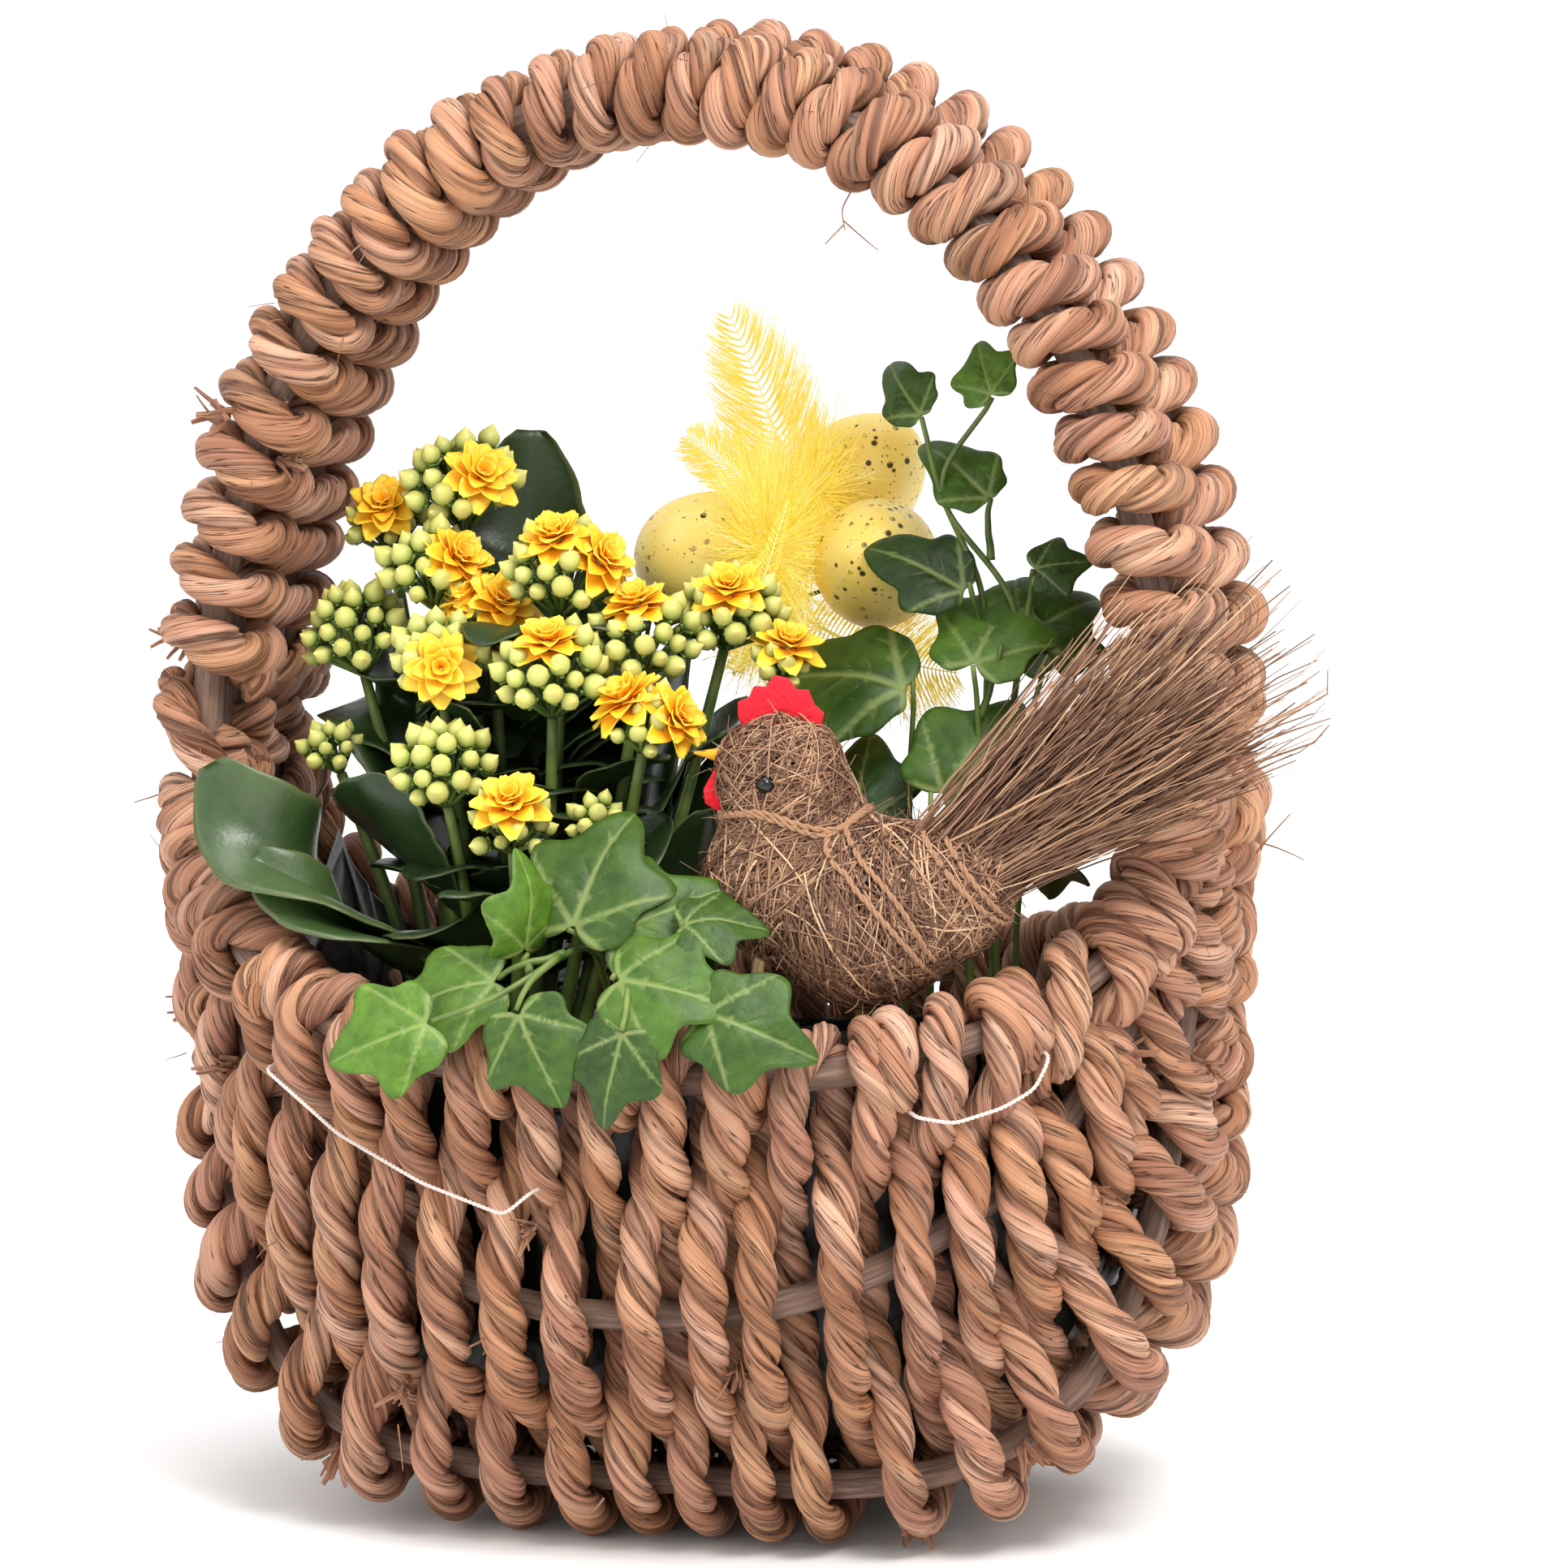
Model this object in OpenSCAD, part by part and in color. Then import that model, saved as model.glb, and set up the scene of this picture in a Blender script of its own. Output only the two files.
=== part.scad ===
// Easter basket: a rib-and-hoop handle basket woven in twisted leaf rope,
// lined with film, planted, and dressed with an egg pick and a fibre hen.
// Millimetres, +Z up, -Y is the front, origin at the centre of the base on the ground.

/* [Basket] */
// Half the spread of the rods across the basket, rod centre to basket centre
half_span = 110; // [100:1:120]
// Height at which all the rods come together in the two legs
leg_z = 165; // [155:1:175]
// Height of the handle's rods at the top, rod centre
handle_z = 320; // [300:1:330]
// Half the gap between the two handle rods at the top
handle_half_gap = 21; // [20:1:24]
// Half the gap between the two handle rods in the legs
leg_half_gap = 26; // [24:1:28]
// Diameter of the two hoops that make the rims and the handle
hoop_d = 7; // [6:0.1:7]
// Diameter of the five ribs
rib_d = 6.4; // [5.6:0.1:6.6]
// Thickness of the rope work outside a rod's centre
wall_out = 12; // [11:0.5:13]
// Thickness of the rope work inside a rod's centre
wall_in = 10.5; // [10:0.5:11.5]

/* [Planting] */
// Height of the top of the soil
soil_z = 98; // [92:1:100]
// Diameter of an opened double flower
flower_d = 15; // [13:0.5:16]

/* [Decorations] */
// Diameter of an egg across its middle
egg_d = 28; // [26:0.5:29]
// Length of an egg
egg_len = 36; // [34:0.5:38]
// Diameter of the wooden stick under the hen
hen_stick_d = 3; // [2.5:0.1:3.5]
// Diameter of the egg pick's stick
egg_stick_d = 3; // [2.5:0.1:3.5]

/* [Hidden] */

seam = 0.2;              // degrees left open each side of the line where two woven panels meet
seam_v = 0.015;          // the same on the way from rim to rim
channel = 0.35;          // clearance between a rod and the rope round it
// The ribs from the keel to the rim: lowest height, roundness and half-width of each
rib_low = [13.5, 15, 57, 110];
rib_round = [4, 4, 2.2, 2.6];
rib_half = [0, 48, 76, 80];
base_out = 14.5;         // rope thickness under the rods of the base, which is pressed flat
step = 6;                // degrees between the sections that every rod and panel shares
side_angle = 30;         // the side panels end this far round from the legs
leg_angle = 18;          // and the legs this far up the handle
waist = 9;               // half the thickness of the handle between its two rods
film = 0.8;              // thickness of the lining film
film_gap = 0.6;          // and the gap on each side of it
stick_play = 0.3;        // room round a stick where it stands in the soil
egg_lean = 20;           // the egg pick leans this far back
egg_stick_top = [10, 34, 209];
hen_at = [47, -52, 0];   // the hen's stick
kalanchoe_at = [-44, -14, soil_z];
rod_colour = [0.42, 0.33, 0.28];
rope_colour = [0.73, 0.53, 0.42];
leaf_colour = [0.17, 0.2, 0.1];
ivy_colour = [0.25, 0.38, 0.1];
bud_colour = [0.54, 0.58, 0.26];
flower_colour = [0.93, 0.68, 0.13];
egg_colour = [0.91, 0.78, 0.42];
fibre_colour = [0.5, 0.36, 0.28];
felt_colour = [0.87, 0.13, 0.19];

// ---- vectors ----
function unit(p) = p / norm(p);
function flat(lists) = [for (l = lists) for (p = l) p];
function span(a, b, n) = [for (i = [0:n]) a + (b - a) * i / n];
function spline(a, b, c, d, t) =
  0.5 * (2 * b + (c - a) * t + (2 * a - 5 * b + 4 * c - d) * t * t + (3 * b - a - 3 * c + d) * t * t * t);

// ---- the shape of the basket: w goes round the hoop, 0 at the right leg, 90 under the base,
// 180 at the left leg and 270 at the top of the handle. rib goes from -3, the front rim, to 3,
// the back rim, and 0 is the keel. ----
function superellipse(w, n) = pow(pow(abs(cos(w)), n) + pow(abs(sin(w)), n), -1 / n);
function lower_point(w, rib) =
  let (j = abs(rib), r = superellipse(w, rib_round[j]), s = max(sin(w), 0) * r,
    near = leg_half_gap * j / 3, rise = pow(s, rib_round[j] / 2 * (0.8 + 0.32 * j)))
  [half_span * cos(w) * r, sign(rib) * (near + (rib_half[j] - near) * rise),
    leg_z - (leg_z - rib_low[j]) * s];
function upper_point(w, rib) =
  let (r = superellipse(w, 2.1))
  [half_span * cos(w) * r,
    rib / 3 * (handle_half_gap + (leg_half_gap - handle_half_gap) * pow(cos(w), 2)),
    leg_z - (handle_z - leg_z) * sin(w) * r];
function rod_point(w, rib) = sin(w) >= 0 ? lower_point(w, rib) : upper_point(w, rib);
function beyond(w, a, b) = 2 * rod_point(w, a) - rod_point(w, b);
function wall_point(w, v) =
  let (i = min(max(floor(v), -3), 2), t = v - i)
  spline(i > -3 ? rod_point(w, i - 1) : beyond(w, -3, -2), rod_point(w, i), rod_point(w, i + 1),
    i < 2 ? rod_point(w, i + 2) : beyond(w, 3, 2), t);
function along(w, v) = unit(wall_point(w + 0.5, v) - wall_point(w - 0.5, v));
function across(w, v) = wall_point(w, min(v + 0.05, 3)) - wall_point(w, max(v - 0.05, -3));
function outward(w, v) = unit(cross(along(w, v), across(w, v)));
function off_wall(w, v, d) = wall_point(w, v) + d * outward(w, v);

// ---- solids from closed loops of points, one after the other. A loop has an even number of
// points, and its two halves lie opposite each other, counted from the point called start. ----
module skin(loops, ring = false, start = 0) {
  m = len(loops[0]);
  last = len(loops) - 1;
  sides = [for (i = [0:ring ? last : last - 1]) for (j = [0:m - 1])
    let (a = i * m + j, b = i * m + (j + 1) % m, n = ((i + 1) % len(loops)) * m)
    each [[a, b, n + j], [b, n + (j + 1) % m, n + j]]];
  rungs = [for (i = [0:m / 2 - 1]) [(start + i) % m, (start - 1 - i + 2 * m) % m]];
  far = [for (i = [0:m / 2 - 2]) each
    [[rungs[i][0], rungs[i + 1][0], rungs[i + 1][1]], [rungs[i][0], rungs[i + 1][1], rungs[i][1]]]];
  ends = ring ? [] : concat([for (f = far) if (f[0] != f[1] && f[1] != f[2]) [f[2], f[1], f[0]]],
    [for (f = far) if (f[0] != f[1] && f[1] != f[2]) [for (j = f) j + last * m]]);
  polyhedron(flat(loops), concat(sides, ends), convexity = 10);
}

function rod_ring(w, v, r, sides) =
  let (c = wall_point(w, v), n = outward(w, v), b = cross(n, along(w, v)))
  [for (k = [0:sides - 1]) c + r * (n * cos(360 * k / sides) + b * sin(360 * k / sides))];

module hoop(v) {
  color(rod_colour) skin([for (w = [0:step:360 - step]) rod_ring(w, v, hoop_d / 2, 8)], ring = true);
}

// A rib ends in a cut taper, high in each leg
module rib(v, reach) {
  color(rod_colour)
    skin([for (w = concat([-reach], [for (a = [-2 * step:step:180 + 2 * step]) a], [180 + reach]))
      rod_ring(w, v, rib_d / 2 * (w == -reach || w == 180 + reach ? 0.5 : 1), 8)]);
}

// The loop round a woven panel at one place w: out along the outer face, round the back rim if
// it has one, back along the inner face and round the front rim
function panel_loop(w, vs, out, mid, in, front_rim, back_rim) =
  let (n = len(vs), a = vs[0], b = vs[n - 1],
    nb = outward(w, b), tb = cross(nb, along(w, b)),
    na = outward(w, a), ta = cross(na, along(w, a)))
  concat(
    [for (v = vs) off_wall(w, v, abs(v) < 1.6 ? mid : out)],
    back_rim ? [for (k = [-60:40:60]) wall_point(w, b) + out * (tb * cos(k) - nb * sin(k))] : [],
    [for (i = [n - 1:-1:0]) off_wall(w, vs[i], -in)],
    front_rim ? [for (k = [-60:40:60]) wall_point(w, a) + out * (na * sin(k) - ta * cos(k))] : []);

function steps(a, b) = concat([a + seam], [for (w = [a + step:step:b - step / 2]) w], [b - seam]);
function past(ws) = concat([ws[0] - 0.5], ws, [ws[len(ws) - 1] + 0.5]);
// The channel runs out past an edge where the next panel carries on
function channel_vs(vs, front_rim, back_rim) =
  concat([vs[0] - (front_rim ? 0 : 0.1)], [for (i = [1:len(vs) - 2]) vs[i]],
    [vs[len(vs) - 1] + (back_rim ? 0 : 0.1)]);

// Rope work on both sides of the rods, with the channel that the rods lie in
module woven(ws, vs, mid, front_rim, back_rim) {
  hole = hoop_d / 2 + channel;
  first = (front_rim ? -2 : 0) + 2 * len(vs) + (front_rim ? 4 : 0) + (back_rim ? 4 : 0);
  color(rope_colour) difference() {
    skin([for (w = ws) panel_loop(w, vs, wall_out, mid, wall_in, front_rim, back_rim)], start = first);
    skin([for (w = past(ws)) panel_loop(w, channel_vs(vs, front_rim, back_rim),
      hole, hole, hole, front_rim, back_rim)], start = first);
  }
}

module front_hoop() hoop(-3);
module back_hoop() hoop(3);
module rib_front_upper() rib(-2, 15);
module rib_front_lower() rib(-1, 13);
module rib_keel() rib(0, 15);
module rib_back_lower() rib(1, 13);
module rib_back_upper() rib(2, 15);

body_ws = steps(side_angle, 180 - side_angle);
all_ribs = [-3, -2, -1, 0, 1, 2, 3];
module weave_front() woven(body_ws, [-3, -2.5, -2, -1.5 - seam_v], wall_out, true, false);
module weave_back() woven(body_ws, [1.5 + seam_v, 2, 2.5, 3], wall_out, false, true);
module weave_base() {
  intersection() {
    woven(body_ws, [-1.5, -1, -0.5, 0, 0.5, 1, 1.5], base_out, false, false);
    translate([-150, -150, 0]) cube([300, 300, 200]);
  }
}
module weave_right_side() woven(steps(0, side_angle), all_ribs, wall_out, true, true);
module weave_left_side() woven(steps(180 - side_angle, 180), all_ribs, wall_out, true, true);
module weave_left_leg() woven(steps(180, 180 + leg_angle), all_ribs, wall_out, true, true);
module weave_right_leg() woven(steps(360 - leg_angle, 360), all_ribs, wall_out, true, true);

// Rope laced in a figure of eight round the two handle rods
module handle_lacing() {
  ws = steps(180 + leg_angle, 360 - leg_angle);
  color(rope_colour) difference() {
    skin([for (w = ws) panel_loop(w, [-3, 0, 3], wall_out, waist, wall_in, true, true)], start = 12);
    for (v = [-3, 3]) skin([for (w = past(ws)) rod_ring(w, v, hoop_d / 2 + 2 * channel, 8)]);
  }
}

// ---- lining, soil and stitches ----
film_ws = [for (w = [3 * step:step:180 - 3 * step]) w];
function film_vs(reach) = concat([-reach], [for (v = [-2.5:0.5:2.5]) v], [reach]);
function reversed(list) = [for (i = [len(list) - 1:-1:0]) list[i]];
// How far inside the rods the film lies, and further off the side panels
function film_in(w) = wall_in + film_gap + (w < side_angle || w > 180 - side_angle ? 1.2 : 0);
module liner_film() {
  color([0.1, 0.1, 0.08])
    skin([for (w = film_ws) concat(
      [for (v = film_vs(2.8)) off_wall(w, v, -film_in(w))],
      [for (v = reversed(film_vs(2.8))) off_wall(w, v, -film_in(w) - film)])]);
}

module stick_hole(top, lean, depth, d) {
  translate(top) rotate([-lean, 0, 0]) translate([0, 0, -depth])
    cylinder(h = depth + 40, d = d + 2 * stick_play, $fn = 24);
}
module soil() {
  color([0.12, 0.09, 0.07]) difference() {
    intersection() {
      skin([for (w = film_ws)
        let (loop = [for (v = film_vs(2.7)) off_wall(w, v, -film_in(w) - film - 2 * film_gap)])
        concat(loop, [(loop[0] + loop[len(loop) - 1]) / 2])]);
      translate([-150, -150, 0]) cube([300, 300, soil_z]);
    }
    stick_hole([hen_at[0], hen_at[1], soil_z], 0, hen_depth + 1, hen_stick_d);
    stick_hole(egg_stick_top, egg_lean, egg_stick_len + 1, egg_stick_d);
  }
}

// A white thread that holds the film to the rope work, seen as a long stitch outside
module thread(points) color("white") vine(points, 1);
module rod(a, b, d, fn = 16) {
  f = b - a;
  translate(a) rotate([0, acos(f[2] / norm(f)), atan2(f[1], f[0])])
    cylinder(h = norm(f), d = d, $fn = fn);
}
function on_wall(w, v, up) = off_wall(w, v, wall_out + up);
module stitch_left() {
  thread([on_wall(132, -2.75, 1), on_wall(121, -2.4, 2), on_wall(110, -2.1, 1.8), on_wall(107, -2.2, 1.2)]);
}
module stitch_right() thread([on_wall(70, -2.55, 1), on_wall(57, -2.6, 1.6), on_wall(53, -2.75, 1)]);

// ---- plants ----
function curve(a, b, c, t) = a * (1 - t) * (1 - t) + 2 * b * t * (1 - t) + c * t * t;
// A thick leaf from its stalk a past its belly b to its tip c
module blade(a, b, c, width, thick) {
  skin([for (t = span(0, 1, 6))
    let (p = curve(a, b, c, t), f = unit(curve(a, b, c, t + 0.01) - p),
      s = unit(cross(f, unit(c - a + [0, 0, 40]))), u = cross(s, f),
      h = max(width / 2 * pow(sin(180 * (0.06 + 0.9 * t)), 0.7), 1))
    [for (q = [[1, 0], [0.5, 0.5], [-0.5, 0.5], [-1, 0], [-0.5, -0.5], [0.5, -0.5]])
      p + s * q[0] * h + u * q[1] * thick]]);
}

// Each flower head: where it is and its radius
heads = [[[-77, 8, 218], 8.5], [[-58, 2, 227], 11.5], [[-62, -10, 209], 9.5], [[-28, -22, 211], 11.5],
  [[-80, -8, 194], 10.5], [[-55, -28, 191], 10], [[-26, -37, 190], 11], [[-9, -24, 197], 10.5],
  [[8, -12, 202], 9.5], [[-50, -42, 169], 9.5], [[-32, -50, 159], 7.5], [[-4, -40, 181], 8],
  [[-15, -44, 160], 4.5], [[-83, -16, 169], 5.5], [[-47, -13, 199], 7.5], [[20, -16, 192], 6]];
module kalanchoe_heads() {
  color(bud_colour) for (h = heads) translate(h[0]) sphere(r = h[1], $fn = 32);
}
// A stem stands for each head, and they spread from one clump in the soil
stem_spread = 0.4;
module kalanchoe_stems() {
  color(leaf_colour) for (h = heads) {
    foot = [for (k = [0:1]) kalanchoe_at[k] + stem_spread * (h[0][k] - kalanchoe_at[k])];
    root = [foot[0], foot[1], soil_z];
    rod(root, h[0] - unit(h[0] - root) * (h[1] - 3), 3);
  }
}
// Open double flowers: the head each one stands on, and the way it faces
blooms = [[1, [0.6, -0.7, 0.45]], [0, [0.05, -0.77, 0.63]], [2, [0.75, -0.4, 0.5]], [3, [-0.04, -0.48, 0.87]],
  [3, [0.85, -0.3, 0.43]], [14, [-0.63, -0.22, 0.74]], [14, [0.45, -0.54, 0.71]], [6, [0, -0.45, 0.9]],
  [7, [-0.12, -0.34, 0.93]], [8, [0.08, -0.62, 0.78]], [15, [0.37, -0.36, 0.86]],
  [5, [0.3, -0.95, 0.1]], [11, [-0.5, -0.39, 0.77]], [11, [0.88, -0.35, 0.3]], [10, [0.07, -0.6, 0.8]]];
module flower() {
  rotate_extrude($fn = 24)
    polygon([[0, 0], [1.5, 0], [flower_d * 0.45, 4], [flower_d / 2, 6.5], [flower_d * 0.3, 8], [0, 8]]);
}
module kalanchoe_flowers() {
  color(flower_colour) for (b = blooms) {
    n = unit(b[1]);
    translate(heads[b[0]][0] + n * (heads[b[0]][1] + 0.2))
      rotate([0, acos(n[2]), atan2(n[1], n[0])]) flower();
  }
}
// Each leaf: stalk, belly, tip, width
thick_leaves = [[[-50, -22, 124], [-76, -50, 128], [-100, -53, 172], 34],
  [[-46, -22, 118], [-66, -56, 128], [-90, -55, 152], 26],
  [[-50, -10, 140], [-74, 2, 160], [-78, 6, 205], 40],
  [[-44, -6, 150], [-50, 18, 196], [-46, 16, 240], 36],
  [[-40, -20, 128], [-22, -38, 136], [-2, -30, 160], 34],
  [[-44, -24, 122], [-48, -48, 132], [-40, -58, 140], 34],
  [[-40, -8, 132], [-18, 10, 150], [6, 16, 180], 36],
  [[-48, -18, 128], [-66, -34, 150], [-70, -42, 168], 30],
  [[-44, 4, 118], [-50, 34, 126], [-62, 48, 146], 34],
  [[-38, 2, 116], [-22, 32, 124], [-8, 42, 140], 32]];
module kalanchoe_leaves() {
  color(leaf_colour) for (l = thick_leaves) blade(l[0], l[1], l[2], l[3], 2.4);
}

// An ivy leaf's outline, its stalk at the origin and its middle lobe along +Y, one unit long
ivy_outline = [[0, 0], [0.2, -0.14], [0.52, 0.02], [0.34, 0.24], [0.44, 0.52], [0.18, 0.56], [0, 1],
  [-0.18, 0.56], [-0.44, 0.52], [-0.34, 0.24], [-0.52, 0.02], [-0.2, -0.14]];
ivy_thick = 1;
// A leaf grows from the end of its stalk, faces one way and points its middle lobe another
module ivy_leaf(leaf) {
  n = unit(leaf[1]);
  y = unit(leaf[2] - n * (leaf[2] * n));
  x = cross(y, n);
  at = leaf[0];
  multmatrix([for (k = [0:2]) [x[k], y[k], n[k], at[k]]]) translate([0, 0, -ivy_thick / 2])
    linear_extrude(ivy_thick) polygon(ivy_outline * leaf[3]);
}
// Each ivy leaf: its stalk's end, the way it faces, the way it points, its length
front_leaves = [[[-37, -98, 124], [0.1, -1, 0.45], [-1, 0, -0.5], 25],
  [[-25, -87, 132], [-0.1, -0.75, 0.75], [-0.6, 0, -0.25], 25],
  [[-20, -82, 137], [0.9, -0.5, -0.2], [0.1, -0.1, 1], 20],
  [[-11, -80, 142], [-0.1, -0.9, 0.55], [0.2, 0.1, 0.9], 32],
  [[-3, -80, 140], [0.1, -0.85, 0.5], [0.75, 0.1, 0.5], 29],
  [[-18, -97, 127], [0, -1, 0.25], [0.45, 0, -0.9], 24],
  [[2, -92, 134], [0, -0.8, 0.6], [1, 0, -0.2], 27],
  [[6, -99, 124], [-0.1, -1, 0.2], [-0.2, 0, -1], 22],
  [[14, -82, 145], [0.1, -0.6, 0.8], [0.9, 0, 0.3], 18],
  [[22, -94, 128], [0.1, -0.9, 0.4], [1, 0, -0.35], 26]];
back_leaves = [[[46, 8, 246], [-0.3, -0.8, 0.4], [-0.8, 0, 0.9], 20],
  [[62, 8, 251], [-0.2, -0.9, 0.5], [-0.4, 0, 0.9], 16],
  [[62, 8, 228], [0.1, -0.8, 0.6], [-0.6, 0, 0.7], 22],
  [[58, 3, 208], [0.1, -0.8, 0.5], [-0.9, 0, 0.5], 28],
  [[72, 6, 213], [0.1, -0.8, 0.5], [0.9, 0, 0.3], 14],
  [[46, -3, 187], [-0.2, -0.75, 0.65], [-0.95, 0, 0.35], 38],
  [[60, -2, 192], [0, -0.75, 0.65], [0.2, 0, 0.9], 26],
  [[68, 3, 197], [0.3, -0.7, 0.6], [0.6, 0, 0.6], 24],
  [[76, 8, 192], [0.2, -0.8, 0.6], [0.4, 0, 0.9], 17],
  [[54, -8, 164], [0.1, -0.85, 0.5], [0.4, 0, 0.7], 28],
  [[34, -2, 154], [-0.1, -0.85, 0.5], [-0.1, 0, 1], 27],
  [[30, 40, 149], [0.1, 0.5, 0.9], [0, 1, 0.2], 30],
  [[-30, 50, 140], [0, 0.6, 0.8], [-0.1, 1, 0], 28],
  [[62, 40, 150], [0.4, 0.5, 0.8], [0.4, 1, 0], 28],
  [[6, 50, 134], [-0.1, 0.6, 0.8], [0, 1, 0.1], 26]];
// A vine is a thin tube along its own points
module vine(points, d) {
  skin([for (i = [0:len(points) - 1])
    let (a = points[max(i - 1, 0)], b = points[min(i + 1, len(points) - 1)],
      f = unit(b - a), s = unit(cross(f, [0.3, 1, 0.1])), u = cross(f, s))
    [for (k = [0:5]) points[i] + d / 2 * (s * cos(60 * k) + u * sin(60 * k))]]);
}
front_vines = [[[-8, -40, soil_z], [-9, -52, 124], [-10, -66, 137], [-14, -82, 136],
    [-26, -96, 129], [-37, -98, 124]],
  [[-4, -40, soil_z], [-4, -56, 128], [-5, -70, 137], [-11, -80, 142]],
  [[4, -42, soil_z], [4, -60, 124], [3, -76, 136], [2, -92, 134]],
  [[14, -40, soil_z], [15, -58, 112], [17, -72, 129], [22, -94, 128]]];
back_vines = [[[56, 14, soil_z], [58, 12, 150], [61, 10, 190], [58, 9, 212], [49, 9, 226], [46, 8, 246]],
  [[60, 14, soil_z], [64, 12, 160], [72, 9, 200], [66, 10, 222], [58, 11, 238], [62, 8, 251]],
  [[42, 8, soil_z], [44, 4, 140], [46, -3, 187]],
  [[50, 2, soil_z], [51, -4, 130], [54, -8, 164]],
  [[30, 30, soil_z], [30, 38, 130], [30, 40, 149]],
  [[-30, 40, soil_z], [-30, 48, 118], [-30, 50, 140]],
  [[60, 36, soil_z], [62, 38, 124], [62, 40, 150]],
  [[8, 36, soil_z], [7, 46, 118], [6, 50, 134]]];
module ivy_front_vines() color(ivy_colour) for (v = front_vines) vine(v, 1.8);
module ivy_back_vines() color(ivy_colour) for (v = back_vines) vine(v, 1.8);
module ivy_front_leaves() color(ivy_colour) for (l = front_leaves) ivy_leaf(l);
module ivy_back_leaves() color(ivy_colour) for (l = back_leaves) ivy_leaf(l);

// ---- egg pick ----
egg_stick_len = 170;
function lean_dir() = [0, sin(egg_lean), cos(egg_lean)];
egg_left_at = [-9, 35, 211];
egg_front_at = [31, 29, 211];
egg_back_at = [21, 54, 227];
module egg(at, turn) {
  color(egg_colour) translate(at) rotate(turn) rotate_extrude($fn = 48)
    polygon(concat([[0, -egg_len / 2]],
      [for (a = [-80:10:80]) [egg_d / 2 * cos(a) * (1 - 0.11 * sin(a)), egg_len / 2 * sin(a)]],
      [[0, egg_len / 2]]));
}
module egg_left() egg(egg_left_at, [0, 74, -8]);
module egg_front() egg(egg_front_at, [66, 0, 12]);
module egg_back() egg(egg_back_at, [20, 48, 0]);
module egg_stick() {
  color([0.72, 0.6, 0.42])
    rod(egg_stick_top - egg_stick_len * lean_dir(), egg_stick_top, egg_stick_d, 24);
}
module egg_wires() {
  start = egg_stick_top - 8 * lean_dir();
  color("dimgray") for (at = [egg_left_at, egg_front_at, egg_back_at]) rod(start, at, 1.2);
}
module egg_down_tuft() color([0.95, 0.85, 0.3]) translate([10, 31, 209]) sphere(r = 14, $fn = 32);
// A feather from its quill end to its tip: a thin flat vane
feather_outline = [[0.1, 0], [0.24, 0.22], [0.56, 0.36], [1, 0.56], [0.8, 0.76], [0.1, 1]];
module feather(a, b, width) {
  f = b - a;
  n = norm(f);
  half = [for (p = feather_outline) [p[0] * width / 2, p[1] * n]];
  color([0.95, 0.85, 0.3]) translate(a) rotate([0, acos(f[2] / n), atan2(f[1], f[0])])
    rotate([0, 0, 90 - atan2(f[1], f[0])]) rotate([90, 0, 0]) translate([0, 0, -0.5])
      linear_extrude(1) polygon(concat(half, reversed([for (p = half) [-p[0], p[1]]])));
}
module feather_tall() feather([9, 43, 209], [-8, 50, 264], 22);
module feather_short() feather([6, 46, 214], [-20, 58, 236], 12);
module feather_front() feather([8, 19, 203], [15, 13, 226], 8);
module feather_low() feather([14, 32, 196], [44, 44, 183], 18);

// ---- hen ----
hen_depth = 36;
function hen(x, z, y = 0) = [hen_at[0] + x, hen_at[1] + y, z];
module blob(at, r) translate(at) sphere(r = r, $fn = 32);
module hen_body() {
  color(fibre_colour) hull() {
    blob(hen(-16, 153), 16);
    blob(hen(1, 144), 18);
    blob(hen(17, 148), 13);
  }
}
module hen_head() {
  color(fibre_colour) hull() {
    blob(hen(-18, 172), 13);
    blob(hen(-13, 159), 14);
  }
}
module hen_tail() {
  color(fibre_colour) hull() {
    blob(hen(20, 150), 9);
    blob(hen(78, 205, -5), 6);
    blob(hen(84, 186, -5), 6);
    blob(hen(76, 176, -5), 6);
  }
}
module felt(at, outline) {
  color(felt_colour) translate(at) rotate([90, 0, 0]) translate([0, 0, -1]) linear_extrude(2)
    polygon(outline);
}
module hen_comb() {
  felt(hen(-18, 183),
    [[-8, -1], [-9, 4], [-6, 8], [-3, 6], [0, 9], [4, 7], [6, 4], [9, 2], [8, -4], [4, -2], [0, -1]]);
}
module hen_wattle() felt(hen(-32, 174), [[2, 0], [-1, -1], [-3, -6], [-1, -9], [3, -6], [4, -2]]);
module hen_beak() color([0.85, 0.62, 0.15]) rod(hen(-30, 177), hen(-36, 177.5), 3);
module hen_eyes() color([0.04, 0.04, 0.05]) for (s = [-1, 1]) blob(hen(-18, 173, s * 12.6), 1.8);
module loop_of_twine(at, turn, r) {
  color([0.66, 0.5, 0.38]) translate(at) rotate(turn) rotate_extrude($fn = 48)
    translate([r, 0]) circle(r = 1, $fn = 16);
}
module hen_neck_twine() loop_of_twine(hen(-14, 161), [0, 24, 0], 14.2);
module hen_chest_twine() loop_of_twine(hen(-3, 147), [0, 60, 0], 18);
module hen_tail_twine() loop_of_twine(hen(22, 151), [0, 52, 0], 10.5);
module hen_stick() {
  color([0.72, 0.6, 0.42]) rod([hen_at[0], hen_at[1], soil_z - hen_depth], hen(0, 134), hen_stick_d, 24);
}

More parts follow.
